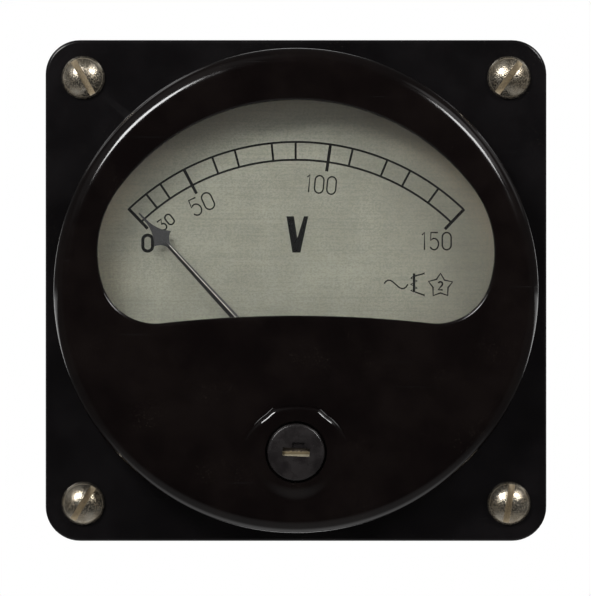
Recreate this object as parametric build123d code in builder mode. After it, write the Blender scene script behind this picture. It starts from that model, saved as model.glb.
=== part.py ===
from build123d import *

import os
from math import asin, atan2, cos, degrees, radians, sin

os.makedirs("parts", exist_ok=True)

# Analog panel meter: square flange, round body, moving-iron movement.
# Millimetres, +Z up. The origin is the centre of the flange's back face, where the panel lies.
# The dial looks towards -Y. "Ahead" counts millimetres in front of the panel, so that a negative
# value lies behind it. Clock angles count from straight up, clockwise as seen from the front.

# Housing. The plan is drawn for an 80 mm flange, and the sizes in the dial's plane follow it.
flange_side = 80.0
plan = flange_side / 80.0
flange_corner = 5.5
flange_thick = 3.6
flange_edge_round = 0.5
cup_radius = 31.5 * plan
cup_wall = 2.0
cup_floor = 2.2
cup_edge_round = 1.5
dome_margin = 1.4
dome_radius = flange_side / 2 - dome_margin
dome_round = 2.5
cover_wall = 2.4
front_wall = 2.2

# Window: five kinds of arc that run smoothly into each other
window_rim = 8.3
window_top_center = -5.0 * plan
window_top_radius = dome_radius - window_rim - window_top_center
window_top_angle = 52.7
window_side_radius = window_top_radius * 0.4816
window_side_angle = 108.0
window_corner_radius = window_side_radius * 0.5177
window_floor = -4.0 * plan
window_edge_round = 0.9

# Glass and what holds it
glass_margin = 1.2
glass_thick = 2.0
seal_thick = 0.4
seal_width = 1.0
retainer_margin = 3.0
retainer_lap = 0.5
retainer_thick = 0.5
retainer_screw_offset = 3.0
retainer_screw_angle = 30.0
retainer_foot_x = 14.0 * plan
retainer_lobe_radius = 1.9
glass_post_radius = 1.6

# Panel screws, cover screws
panel_screw_edge = 6.0
panel_screw_spacing = flange_side - 2 * panel_screw_edge
panel_screw_radius = 2.0
panel_screw_length = 16.0
panel_screw_head_radius = 3.45
panel_screw_head = 2.5
panel_screw_slot = 0.9
thread_height = 0.25
panel_hole_clearance = 0.25
panel_screw_turns = (120.0, 53.0, 58.0, 81.0)
cover_screw_radius = 1.25
cover_screw_head_radius = 2.3
cover_screw_length = 8.0
cover_boss_radius = 2.5
cover_boss_inset = 2.6
cover_boss_ring = dome_radius - cover_boss_inset
cover_boss_angles = (0.0, 125.0, 235.0)
thread_clearance = 0.02

# Zero adjuster
adjuster_z = -25.7 * plan
adjuster_radius = 4.55
adjuster_head = 1.75
adjuster_head_round = 0.5
adjuster_seat_clearance = 0.2
adjuster_lift = 0.05
adjuster_boss_radius = 7.6
adjuster_boss_height = 1.0
adjuster_boss_round = 0.7
adjuster_shaft_radius = 2.6
adjuster_play = 0.08
adjuster_slot_length = 4.3
adjuster_slot_width = 1.3
adjuster_slot_depth = 0.8
adjuster_notch_width = 1.9
adjuster_notch_reach = 1.5
adjuster_notch_depth = 0.45
core_disc_radius = 2.3
core_disc_thick = 0.4
core_radius = 1.7
eccentric_offset = 1.0
eccentric_radius = 0.6
washer_thick = 0.4
washer_radius = 4.2
clip_thick = 0.4
clip_radius = 4.0
clip_groove = 0.5
clip_gap = 0.08
shaft_end = 0.4
core_end = 0.4

# Dial, pointer and the pivot line
pivot_z = -14.9 * plan
dial_margin = 5.4
dial_radius = dome_radius - dial_margin
dial_thick = 0.6
dial_seat_height = 0.9
dial_bottom = pivot_z - 0.6
dial_notch_clearance = 1.1
dial_notch_margin = 0.8
dial_notch_top = pivot_z + 2.5
dial_screw_angle = 112.0
pointer_rest = -42.6
pointer_gap = 1.7
pointer_tip = 37.0 * plan
pointer_neck = pointer_tip - 2.8
pointer_corner = pointer_tip - 5.5
pointer_shaft_end = pointer_corner - 1.4
pointer_corner_half = 1.8
pointer_sheet = 0.2
pointer_shaft_tip_half = 0.3
pointer_shaft_root_half = 0.8
pointer_shaft_root = 1.2
pointer_fold_height = 0.5
pointer_ring_radius = 2.2

# Staff and what it carries
staff_radius = 0.5
pivot_cone = 0.9
jewel_gap = 0.1
hub_radius = 1.5
hub_length = 0.9
arm_thick = 0.3
arm_width = 0.6
arm_reach = 7.5 * plan
arm_spread = 30.0
weight_radius = 1.0
weight_length = 0.54
weight_center = arm_reach - 1.3
collet_radius = 1.3
collet_length = 1.6
spring_width = 0.8
spring_strip = 0.18
spring_turns = 4.5
spring_clearance = 0.06
iron_sheet = 0.4
iron_gap = 0.5
iron_seat = 0.05
moving_iron_half_angle = 22.0
moving_iron_length = 5.0
fixed_iron_span = 104.0
fixed_iron_wide = 8.0
fixed_iron_narrow = 2.0
sleeve_radius = 1.3
sleeve_length = 2.0
vane_inner = 10.2 * plan
vane_outer = 16.5 * plan
vane_thick = 0.3

# Bearings, bridge and zero lever
bearing_radius = 1.5
bearing_bore = 0.75
bearing_nut_flats = 5.5
bearing_nut_thick = 1.0
bearing_stub = 0.4
front_bearing_reach = 0.75
rear_bearing_reach = 2.15
bridge_gap = 1.4
bridge_thick = 0.8
bridge_half_width = 2.0
bridge_foot = 4.8
bridge_foot_clearance = 1.0
lever_play = 0.05
lever_thick = 0.4
lever_hub_radius = 3.2
lever_arm_width = 1.4
lever_fork_width = 3.4
lever_fork_clearance = 0.15
tab_angle = 60.3
tab_radius = 7.0 * plan
tab_thick = 0.4
tab_width = 0.7
wall_clearance = 0.9

# Movement plate, coil, damper
plate_thick = 1.2
plate_clearance = 0.6
plate_window_radius = 4.0
pillar_inset = 3.5
pillar_radius = 2.6
pillar_angles = (50.0, 110.0, 250.0, 310.0)
plate_screw_radius = 1.3
small_screw_radius = 1.0
small_head_radius = 1.8
small_head = 1.1
small_slot = 0.4
damper_depth = 6.0
damper_wall = 0.8
damper_inner = 8.6 * plan
damper_outer = 17.8 * plan
damper_angles = (-54.0, 57.0)
damper_lug_angle = 66.0
damper_lug_ring = 13.0 * plan
damper_lug_radius = 2.0
damper_lug_thick = 2.4
vane_clearance = 0.4
coil_gap = 0.8
coil_length = 13.2
coil_flange_radius = 12.5 * plan
coil_flange = 1.0
coil_rear_flange = 2.0
coil_tube_radius = 7.2 * plan
coil_tube_wall = 0.8
winding_margin = 0.7
coil_screw_x = 9.6 * plan
bracket_thick = 1.2
bracket_half_width = 6.0
bracket_end = 20.0 * plan
bracket_pillar_inset = 2.4
bracket_pillar_radius = 2.2
rear_clearance = 2.2

# Terminals, resistor and wires
terminal_spacing = 30.0 * plan
terminal_z = 7.0 * plan
terminal_radius = 2.0
terminal_pad_radius = 6.5
terminal_pad_height = 0.8
terminal_head_flats = 7.0
terminal_head = 1.8
terminal_nut = 3.2
terminal_washer_radius = 4.5
terminal_washer = 0.8
terminal_end = 3.0
tag_radius = 4.0
tag_thick = 0.5
tag_reach = 9.0 * plan
tag_tongue = 2.4
tag_hole = 0.8
resistor_radius = 2.6
resistor_length = 15.0 * plan
resistor_z = 15.0 * plan
resistor_wire_radius = 0.35
clip_strip = 0.6
clip_width = 4.0
clip_clearance = 0.03
wire_radius = 0.55
wire_bend = 2.5
lead_clearance = 0.3
lead_x = 5.0 * plan
lead_drop = 9.0 * plan
lead_step = 3.5 * plan
lead_rise = 4.0 * plan

# The stack along the axis, from the panel forwards
plate_front = plate_thick / 2
plate_back = -plate_thick / 2
dial_back = flange_thick + dial_seat_height
dial_front = dial_back + dial_thick
pointer_back = dial_front + pointer_gap
bridge_back = pointer_back + bridge_gap
bridge_front = bridge_back + bridge_thick
lever_back = bridge_front + lever_play
lever_front = lever_back + lever_thick
front_nut_back = lever_front + lever_play
front_nut_front = front_nut_back + bearing_nut_thick
bearing_front_end = front_nut_front + bearing_stub
wall_back = bearing_front_end + wall_clearance
dome_front = wall_back + front_wall
glass_front = wall_back - seal_thick
glass_back = glass_front - glass_thick
retainer_back = glass_back - retainer_thick

# The stack along the axis, from the panel backwards
damper_rear = plate_back - damper_depth
coil_front = damper_rear - coil_gap
coil_rear = coil_front - coil_length
bracket_rear = coil_rear - bracket_thick
rear_nut_rear = bracket_rear - bearing_nut_thick
bearing_rear_end = rear_nut_rear - bearing_stub
floor_front = bearing_rear_end - rear_clearance
floor_rear = floor_front - cup_floor
pad_rear = floor_rear - terminal_pad_height

cup_inner = cup_radius - cup_wall
cover_inner = dome_radius - cover_wall
plate_radius = cup_inner - plate_clearance
pillar_ring = cup_inner - pillar_inset
dial_screw_ring = (cup_inner + dial_radius) / 2
dial_notch_radius = tab_radius + tab_thick + dial_notch_clearance
coil_bore = coil_tube_radius - coil_tube_wall
winding_radius = coil_flange_radius - winding_margin
bracket_pillar_x = bracket_end - bracket_pillar_inset
bridge_foot_end = bracket_pillar_x - small_head_radius - bridge_foot_clearance
bridge_leg_x = bridge_foot_end - bridge_foot
dial_notch_half = bridge_leg_x + bridge_thick + dial_notch_margin
front_bearing_back = bridge_back - front_bearing_reach
front_tip = front_bearing_back + bearing_bore - jewel_gap
rear_bearing_front = coil_rear + rear_bearing_reach
rear_tip = rear_bearing_front - bearing_bore + jewel_gap
fixed_iron_radius = coil_bore - iron_seat - iron_sheet
moving_iron_radius = fixed_iron_radius - iron_gap - iron_sheet
moving_iron_middle = (coil_front + coil_rear) / 2
spring_middle = dial_back - spring_width
lever_to_pin = pivot_z - adjuster_z - eccentric_offset


def ahead(distance):
    """The drawing plane this far in front of the panel: x right, z up, extrusions go forwards."""
    return Plane.XZ.offset(distance)


def needle_plane(distance, turn=0.0):
    """A plane on the pivot line whose y runs along the pointer at rest, turned clockwise by turn."""
    clock = radians(pointer_rest + turn)
    return Plane(
        origin=(0, -distance, pivot_z),
        x_dir=(cos(clock), 0, -sin(clock)),
        z_dir=(0, -1, 0),
    )


def clock_point(radius, clock, center=(0.0, 0.0)):
    """The point at a radius and clock angle about a centre."""
    return (center[0] + radius * sin(radians(clock)), center[1] + radius * cos(radians(clock)))


def clock_arc(center, radius, start, end):
    """An arc about a centre, from one clock angle to another."""
    return ThreePointArc(
        clock_point(radius, start, center),
        clock_point(radius, (start + end) / 2, center),
        clock_point(radius, end, center),
    )


def sector(center, inner, outer, start, end):
    """Draws a ring sector between two clock angles into the open sketch."""
    with BuildLine() as outline:
        clock_arc(center, outer, start, end)
        Line(clock_point(outer, end, center), clock_point(inner, end, center))
        clock_arc(center, inner, end, start)
        Line(clock_point(inner, start, center), clock_point(outer, start, center))
    make_face(outline.edges())


# The window's arc centres, each one on the line through the last tangent point
top_center = (0.0, window_top_center)
side_center = clock_point(window_top_radius - window_side_radius, window_top_angle, top_center)
corner_center = clock_point(
    window_side_radius - window_corner_radius, window_side_angle, side_center
)
corner_rise = corner_center[1] - window_floor
window_floor_radius = (corner_center[0] ** 2 + corner_rise**2 - window_corner_radius**2) / (
    2 * (window_corner_radius - corner_rise)
)
floor_center = (0.0, window_floor - window_floor_radius)
floor_angle = degrees(atan2(corner_center[0], corner_center[1] - floor_center[1]))


def window_outline(grow=0.0, mode=Mode.ADD):
    """Draws the window's outline into the open sketch, grown outwards by a margin."""
    with BuildLine() as outline:
        clock_arc(floor_center, window_floor_radius - grow, 0, floor_angle)
        corner_radius = window_corner_radius + grow
        clock_arc(corner_center, corner_radius, floor_angle + 180, window_side_angle)
        clock_arc(side_center, window_side_radius + grow, window_side_angle, window_top_angle)
        clock_arc(top_center, window_top_radius + grow, window_top_angle, 0)
        mirror(about=Plane.YZ)
    make_face(outline.edges(), mode=mode)


def slotted_screw(radius, length, head_radius, head_height, slot, head="pan", neck=0.5):
    """A screw with its head in front of the origin, its shank running back along +Y."""
    tip = 0.3 * radius
    with BuildPart() as screw:
        with BuildSketch(Plane.XY):
            with BuildLine():
                if head == "round":
                    ball = (head_radius**2 + head_height**2) / (2 * head_height)
                    half = asin(min(1.0, head_radius / ball)) / 2
                    crown = (ball * sin(half), ball - head_height - ball * cos(half))
                    ThreePointArc((0, -head_height), crown, (head_radius, 0))
                    blank = radius - thread_height
                    Polyline((head_radius, 0), (blank, 0), (blank, neck), (radius, neck))
                    Line((radius, neck), (radius, length - tip))
                elif head == "pan":
                    Polyline(
                        (0, -head_height),
                        (head_radius - 0.3 * head_height, -head_height),
                        (head_radius, -0.6 * head_height),
                        (head_radius, 0),
                        (radius, 0),
                        (radius, length - tip),
                    )
                else:
                    cone = head_radius - radius
                    Polyline((0, 0), (head_radius, 0), (radius, cone), (radius, length - tip))
                top = 0 if head == "flush" else -head_height
                Polyline((radius, length - tip), (radius - tip, length), (0, length), (0, top))
            make_face()
        revolve(axis=Axis.Y)
        depth = 0.45 * head_height
        middle = depth / 2 if head == "flush" else depth / 2 - head_height
        with Locations((0, middle, 0)):
            Box(2 * head_radius + 1, depth, slot, mode=Mode.SUBTRACT)
    return screw.part


def hex_nut(flats, thick, bore):
    """A nut on the Y axis, its back face on the origin's plane and its body in front of it."""
    with BuildPart() as nut:
        with BuildSketch(Plane.XZ):
            RegularPolygon(flats / 2, 6, major_radius=False)
        extrude(amount=thick)
        crown = flats / 2 / cos(radians(30))
        with BuildSketch(Plane.XY):
            with BuildLine():
                slope = (crown - flats / 2) * 0.6
                Polyline(
                    (0, 0),
                    (flats / 2, 0),
                    (crown, -slope),
                    (crown, slope - thick),
                    (flats / 2, -thick),
                    (0, -thick),
                    close=True,
                )
            make_face()
        revolve(axis=Axis.Y, mode=Mode.INTERSECT)
        with BuildSketch(Plane.XZ):
            Circle(bore)
        extrude(amount=thick, mode=Mode.SUBTRACT)
    return nut.part


def spots(points, distance, turn=(0, 0, 0)):
    """Places on a plane ahead of the panel, for pieces drawn about the Y axis."""
    return Locations(*[Location((x, -distance, z), turn) for x, z in points])


corner = panel_screw_spacing / 2
panel_points = ((-corner, corner), (corner, corner), (-corner, -corner), (corner, -corner))
cover_points = [clock_point(cover_boss_ring, angle) for angle in cover_boss_angles]
pillar_points = [clock_point(pillar_ring, angle) for angle in pillar_angles]
dial_points = [clock_point(dial_screw_ring, turn * dial_screw_angle) for turn in (-1, 1)]
pivot = (0.0, pivot_z)
terminal_points = ((-terminal_spacing / 2, terminal_z), (terminal_spacing / 2, terminal_z))
damper_points = [
    clock_point(damper_lug_ring, angle, pivot) for angle in (-damper_lug_angle, damper_lug_angle)
]
bracket_points = ((-bracket_pillar_x, pivot_z), (bracket_pillar_x, pivot_z))
bridge_screw_x = bridge_leg_x + bridge_foot / 2 + bridge_thick / 2
bridge_points = ((-bridge_screw_x, pivot_z), (bridge_screw_x, pivot_z))
coil_screw_points = ((-coil_screw_x, pivot_z), (coil_screw_x, pivot_z))
retainer_top = window_top_radius + retainer_screw_offset
retainer_foot_angle = degrees(
    asin(retainer_foot_x / (window_floor_radius - retainer_screw_offset))
)
retainer_points = [
    clock_point(retainer_top, -retainer_screw_angle, top_center),
    clock_point(retainer_top, retainer_screw_angle, top_center),
    clock_point(window_floor_radius - retainer_screw_offset, -retainer_foot_angle, floor_center),
    clock_point(window_floor_radius - retainer_screw_offset, retainer_foot_angle, floor_center),
]

# Case: the square flange and the round cup behind it are one moulding
pillar_hole_depth = 8.0
dial_hole_depth = dial_seat_height + flange_thick - 0.8
with BuildPart() as rear_case:
    with BuildSketch(ahead(0)):
        RectangleRounded(flange_side, flange_side, flange_corner)
    extrude(amount=flange_thick)
    fillet(rear_case.faces().sort_by(Axis.Y)[0].edges(), flange_edge_round)
    with BuildSketch(ahead(0)):
        Circle(cup_radius)
    extrude(amount=floor_rear)
    fillet(rear_case.faces().sort_by(Axis.Y)[-1].edges(), cup_edge_round)
    with BuildSketch(ahead(floor_rear)):
        with Locations(*terminal_points):
            Circle(terminal_pad_radius)
    extrude(amount=-terminal_pad_height)
    with BuildSketch(ahead(flange_thick)):
        Circle(dial_radius)
    extrude(amount=dial_seat_height)
    with BuildSketch(ahead(floor_front)):
        Circle(cup_inner)
    extrude(amount=dial_back - floor_front, mode=Mode.SUBTRACT)
    with BuildSketch(ahead(floor_front)):
        with Locations(*pillar_points):
            Circle(pillar_radius)
    extrude(amount=plate_back - floor_front)
    with BuildSketch(ahead(plate_back)):
        with Locations(*pillar_points):
            Circle(plate_screw_radius + thread_clearance)
    extrude(amount=-pillar_hole_depth, mode=Mode.SUBTRACT)
    with BuildSketch(ahead(dial_back)):
        with Locations(*dial_points):
            Circle(small_screw_radius + thread_clearance)
    extrude(amount=-dial_hole_depth, mode=Mode.SUBTRACT)
    with BuildSketch(ahead(0)):
        with Locations(*panel_points):
            Circle(panel_screw_radius + panel_hole_clearance)
    extrude(amount=flange_thick, mode=Mode.SUBTRACT)
    with BuildSketch(ahead(pad_rear)):
        with Locations(*terminal_points):
            Circle(terminal_radius + thread_clearance)
    extrude(amount=floor_front - pad_rear, mode=Mode.SUBTRACT)
    with BuildSketch(ahead(0)):
        with Locations(*cover_points):
            Circle(cover_screw_radius + thread_clearance)
    extrude(amount=flange_thick, mode=Mode.SUBTRACT)
    sink = cover_screw_head_radius - cover_screw_radius
    with spots(cover_points, 0):
        with Locations(Location((0, -sink / 2, 0), (90, 0, 0))):
            Cone(
                cover_screw_head_radius + thread_clearance,
                cover_screw_radius + thread_clearance,
                sink,
                mode=Mode.SUBTRACT,
            )
rear_case.part.label = "rear_case"
export_step(rear_case.part, "parts/rear_case.step")

# Cover: a round cap with the window, the adjuster's boss, screw bosses and posts for the glass
adjuster_spot = (0.0, adjuster_z)
cover_boss_depth = wall_back - flange_thick
with BuildPart() as front_cover:
    with BuildSketch(ahead(flange_thick)):
        Circle(dome_radius)
    extrude(amount=dome_front - flange_thick)
    fillet(front_cover.faces().sort_by(Axis.Y)[0].edges(), dome_round)
    with BuildSketch(ahead(flange_thick)):
        Circle(cover_inner)
    extrude(amount=wall_back - flange_thick, mode=Mode.SUBTRACT)
    with BuildSketch(ahead(wall_back)):
        window_outline()
    extrude(amount=front_wall, mode=Mode.SUBTRACT)
    rim = front_cover.edges(Select.LAST).group_by(Axis.Y)[0]
    fillet(rim, window_edge_round)
    with BuildSketch(ahead(dome_front)):
        with Locations(adjuster_spot):
            Circle(adjuster_boss_radius)
    extrude(amount=adjuster_boss_height)
    fillet(front_cover.faces().sort_by(Axis.Y)[0].edges(), adjuster_boss_round)
    with BuildSketch(ahead(dome_front)):
        with Locations(adjuster_spot):
            Circle(adjuster_radius + adjuster_seat_clearance)
    extrude(amount=adjuster_boss_height, mode=Mode.SUBTRACT)
    with BuildSketch(ahead(wall_back)):
        with Locations(adjuster_spot):
            Circle(adjuster_shaft_radius + adjuster_play)
    extrude(amount=front_wall, mode=Mode.SUBTRACT)
    with BuildSketch(ahead(flange_thick)):
        with Locations(*cover_points):
            Circle(cover_boss_radius)
    extrude(amount=cover_boss_depth)
    with BuildSketch(ahead(flange_thick)):
        with Locations(*cover_points):
            Circle(cover_screw_radius + thread_clearance)
    extrude(amount=cover_screw_length - flange_thick + 1.0, mode=Mode.SUBTRACT)
    with BuildSketch(ahead(glass_back)):
        with Locations(*retainer_points):
            Circle(glass_post_radius)
    extrude(amount=wall_back - glass_back)
    with BuildSketch(ahead(glass_back)):
        with Locations(*retainer_points):
            Circle(small_screw_radius * 0.8 + thread_clearance)
    extrude(amount=wall_back - glass_back, mode=Mode.SUBTRACT)
front_cover.part.label = "front_cover"
export_step(front_cover.part, "parts/front_cover.step")

# Glass, its seal and the sheet frame behind it
with BuildPart() as window_glass:
    with BuildSketch(ahead(glass_back)):
        window_outline(glass_margin)
    extrude(amount=glass_thick)
window_glass.part.label = "window_glass"
export_step(window_glass.part, "parts/window_glass.step")

with BuildPart() as glass_seal:
    with BuildSketch(ahead(glass_front)):
        window_outline(glass_margin)
        window_outline(glass_margin - seal_width, mode=Mode.SUBTRACT)
    extrude(amount=seal_thick)
glass_seal.part.label = "glass_seal"
export_step(glass_seal.part, "parts/glass_seal.step")

with BuildPart() as glass_retainer:
    with BuildSketch(ahead(retainer_back)):
        window_outline(retainer_margin)
        with Locations(*retainer_points):
            Circle(retainer_lobe_radius)
        window_outline(glass_margin - retainer_lap, mode=Mode.SUBTRACT)
        with Locations(*retainer_points):
            Circle(small_screw_radius * 0.8 + thread_clearance, mode=Mode.SUBTRACT)
    extrude(amount=retainer_thick)
glass_retainer.part.label = "glass_retainer"
export_step(glass_retainer.part, "parts/glass_retainer.step")

retainer_screw_length = retainer_thick + wall_back - glass_back - 0.3
retainer_screw = slotted_screw(
    small_screw_radius * 0.8, retainer_screw_length, small_head_radius * 0.9, 1.0, small_slot
)
with BuildPart() as retainer_screws:
    with spots(retainer_points, retainer_back, (0, 0, 180)):
        add(retainer_screw)
retainer_screws.part.label = "retainer_screws"
export_step(retainer_screws.part, "parts/retainer_screws.step")

# Screws of the housing
cover_screw = slotted_screw(
    cover_screw_radius,
    cover_screw_length,
    cover_screw_head_radius,
    1.2,
    small_slot,
    head="flush",
)
with BuildPart() as cover_screws:
    with spots(cover_points, 0, (0, 0, 180)):
        add(cover_screw)
cover_screws.part.label = "cover_screws"
export_step(cover_screws.part, "parts/cover_screws.step")

panel_screw = slotted_screw(
    panel_screw_radius,
    panel_screw_length,
    panel_screw_head_radius,
    panel_screw_head,
    panel_screw_slot,
    head="round",
    neck=flange_thick,
)
with BuildPart() as panel_screws:
    for (x, z), turn in zip(panel_points, panel_screw_turns):
        with Locations(Location((x, -flange_thick, z), (0, -turn, 0))):
            add(panel_screw)
panel_screws.part.label = "panel_screws"
export_step(panel_screws.part, "parts/panel_screws.step")

# Zero adjuster: moulded head and shaft, brass core with an eccentric pin, washer and clip
head_back = dome_front + adjuster_lift
head_front = head_back + adjuster_head
washer_back = wall_back - washer_thick
clip_front = washer_back - clip_gap
clip_back = clip_front - clip_thick
shaft_back = clip_back - shaft_end
core_front = head_front - adjuster_slot_depth
core_back = shaft_back - core_end
with BuildPart() as zero_adjuster:
    with BuildSketch(ahead(head_back)):
        with Locations(adjuster_spot):
            Circle(adjuster_radius)
    extrude(amount=adjuster_head)
    fillet(zero_adjuster.faces().sort_by(Axis.Y)[0].edges(), adjuster_head_round)
    with BuildSketch(ahead(shaft_back)):
        with Locations(adjuster_spot):
            Circle(adjuster_shaft_radius)
    extrude(amount=head_back - shaft_back)
    with BuildSketch(ahead(clip_back)):
        with Locations(adjuster_spot):
            Circle(adjuster_shaft_radius)
            Circle(adjuster_shaft_radius - clip_groove, mode=Mode.SUBTRACT)
    extrude(amount=clip_thick, mode=Mode.SUBTRACT)
    with BuildSketch(ahead(core_front)):
        with Locations(adjuster_spot):
            SlotOverall(adjuster_slot_length, adjuster_slot_width)
    extrude(amount=adjuster_slot_depth, mode=Mode.SUBTRACT)
    with BuildSketch(ahead(core_front - core_disc_thick)):
        with Locations(adjuster_spot):
            Circle(core_disc_radius + thread_clearance)
    extrude(amount=core_disc_thick, mode=Mode.SUBTRACT)
    with BuildSketch(ahead(shaft_back)):
        with Locations(adjuster_spot):
            Circle(core_radius + thread_clearance)
    extrude(amount=core_front - core_disc_thick - shaft_back, mode=Mode.SUBTRACT)
    with BuildSketch(ahead(head_front - adjuster_notch_depth)):
        with Locations(adjuster_spot):
            Rectangle(adjuster_notch_width, adjuster_notch_reach, align=(Align.CENTER, Align.MIN))
    extrude(amount=adjuster_notch_depth, mode=Mode.SUBTRACT)
zero_adjuster.part.label = "zero_adjuster"
export_step(zero_adjuster.part, "parts/zero_adjuster.step")

eccentric_back = lever_back - 0.3
with BuildPart() as adjuster_core:
    with BuildSketch(ahead(core_front - core_disc_thick)):
        with Locations(adjuster_spot):
            Circle(core_disc_radius)
    extrude(amount=core_disc_thick)
    with BuildSketch(ahead(core_back)):
        with Locations(adjuster_spot):
            Circle(core_radius)
    extrude(amount=core_front - core_disc_thick - core_back)
    with BuildSketch(ahead(eccentric_back)):
        with Locations((0, adjuster_z + eccentric_offset)):
            Circle(eccentric_radius)
    extrude(amount=core_back - eccentric_back)
adjuster_core.part.label = "adjuster_core"
export_step(adjuster_core.part, "parts/adjuster_core.step")

with BuildPart() as adjuster_washer:
    with BuildSketch(ahead(washer_back)):
        with Locations(adjuster_spot):
            Circle(washer_radius)
            Circle(adjuster_shaft_radius + adjuster_play, mode=Mode.SUBTRACT)
    extrude(amount=washer_thick)
adjuster_washer.part.label = "adjuster_washer"
export_step(adjuster_washer.part, "parts/adjuster_washer.step")

with BuildPart() as adjuster_clip:
    with BuildSketch(ahead(clip_back)):
        sector(
            adjuster_spot,
            adjuster_shaft_radius - clip_groove + thread_clearance,
            clip_radius,
            -140,
            140,
        )
    extrude(amount=clip_thick)
adjuster_clip.part.label = "adjuster_clip"
export_step(adjuster_clip.part, "parts/adjuster_clip.step")

# Dial, seated on the case's ring
with BuildPart() as dial_plate:
    with BuildSketch(ahead(dial_back)):
        Circle(dial_radius)
        with Locations((0, dial_bottom - dial_radius)):
            Rectangle(2 * dial_radius, 2 * dial_radius, mode=Mode.SUBTRACT)
        with Locations(pivot):
            Circle(dial_notch_radius, mode=Mode.SUBTRACT)
        with Locations((0, dial_notch_top - dial_radius / 2)):
            Rectangle(2 * dial_notch_half, dial_radius, mode=Mode.SUBTRACT)
        with Locations(*dial_points):
            Circle(small_screw_radius + thread_clearance, mode=Mode.SUBTRACT)
    extrude(amount=dial_thick)
dial_plate.part.label = "dial_plate"
export_step(dial_plate.part, "parts/dial_plate.step")

dial_screw = slotted_screw(
    small_screw_radius, dial_thick + dial_hole_depth - 0.4, small_head_radius, small_head, small_slot
)
with BuildPart() as dial_screws:
    with spots(dial_points, dial_front):
        add(dial_screw)
dial_screws.part.label = "dial_screws"
export_step(dial_screws.part, "parts/dial_screws.step")

# Movement plate across the mouth of the case
with BuildPart() as movement_plate:
    with BuildSketch(ahead(plate_back)):
        Circle(plate_radius)
        with Locations(pivot):
            Circle(plate_window_radius, mode=Mode.SUBTRACT)
        with Locations(*pillar_points):
            Circle(plate_screw_radius + thread_clearance, mode=Mode.SUBTRACT)
        with Locations(*damper_points, *bracket_points, *bridge_points):
            Circle(small_screw_radius + thread_clearance, mode=Mode.SUBTRACT)
    extrude(amount=plate_thick)
movement_plate.part.label = "movement_plate"
export_step(movement_plate.part, "parts/movement_plate.step")

plate_screw = slotted_screw(
    plate_screw_radius, plate_thick + pillar_hole_depth - 1.0, 2.3, 1.4, small_slot
)
with BuildPart() as plate_screws:
    with spots(pillar_points, plate_front):
        add(plate_screw)
plate_screws.part.label = "plate_screws"
export_step(plate_screws.part, "parts/plate_screws.step")

# Front bridge: one bent strap over the hub, with feet on the plate
with BuildPart() as front_bridge:
    with BuildSketch(Plane.XY.offset(pivot_z - bridge_half_width)):
        with BuildLine():
            Polyline(
                (0, -bridge_front),
                (bridge_leg_x + bridge_thick, -bridge_front),
                (bridge_leg_x + bridge_thick, -plate_front - bridge_thick),
                (bridge_leg_x + bridge_foot, -plate_front - bridge_thick),
                (bridge_leg_x + bridge_foot, -plate_front),
                (bridge_leg_x, -plate_front),
                (bridge_leg_x, -bridge_back),
                (0, -bridge_back),
            )
            mirror(about=Plane.YZ)
        make_face()
    extrude(amount=2 * bridge_half_width)
    with BuildSketch(ahead(bridge_back)):
        with Locations(pivot):
            Circle(bearing_radius + thread_clearance)
    extrude(amount=bridge_thick, mode=Mode.SUBTRACT)
    with BuildSketch(ahead(plate_front)):
        with Locations(*bridge_points):
            Circle(small_screw_radius + thread_clearance)
    extrude(amount=bridge_thick, mode=Mode.SUBTRACT)
front_bridge.part.label = "front_bridge"
export_step(front_bridge.part, "parts/front_bridge.step")

short_screw = slotted_screw(
    small_screw_radius, bridge_thick + plate_thick + 0.6, small_head_radius, small_head, small_slot
)
with BuildPart() as bridge_screws:
    with spots(bridge_points, plate_front + bridge_thick):
        add(short_screw)
bridge_screws.part.label = "bridge_screws"
export_step(bridge_screws.part, "parts/bridge_screws.step")


def bearing_screw(inner_end, outer_end):
    """A jewel screw on the pivot line: a cone sunk in its inner end, a slot in its outer end."""
    outward = 1 if outer_end > inner_end else -1
    with BuildPart() as bearing:
        with BuildSketch(Plane.XY):
            with BuildLine():
                Polyline(
                    (0, -(inner_end + outward * bearing_bore)),
                    (bearing_bore, -inner_end),
                    (bearing_radius, -inner_end),
                    (bearing_radius, -outer_end),
                    (0, -outer_end),
                    close=True,
                )
            make_face()
        revolve(axis=Axis.Y)
        with Locations((0, -(outer_end - outward * small_slot), 0)):
            Box(2 * bearing_radius + 1, 2 * small_slot, small_slot, mode=Mode.SUBTRACT)
    return bearing.part


with BuildPart() as front_bearing:
    with Locations((0, 0, pivot_z)):
        add(bearing_screw(front_bearing_back, bearing_front_end))
front_bearing.part.label = "front_bearing"
export_step(front_bearing.part, "parts/front_bearing.step")

with BuildPart() as rear_bearing:
    with Locations((0, 0, pivot_z)):
        add(bearing_screw(rear_bearing_front, bearing_rear_end))
rear_bearing.part.label = "rear_bearing"
export_step(rear_bearing.part, "parts/rear_bearing.step")

bearing_nut = hex_nut(bearing_nut_flats, bearing_nut_thick, bearing_radius + thread_clearance)
with BuildPart() as bearing_nuts:
    with Locations((0, -front_nut_back, pivot_z), (0, -rear_nut_rear, pivot_z)):
        add(bearing_nut)
bearing_nuts.part.label = "bearing_nuts"
export_step(bearing_nuts.part, "parts/bearing_nuts.step")

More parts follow.
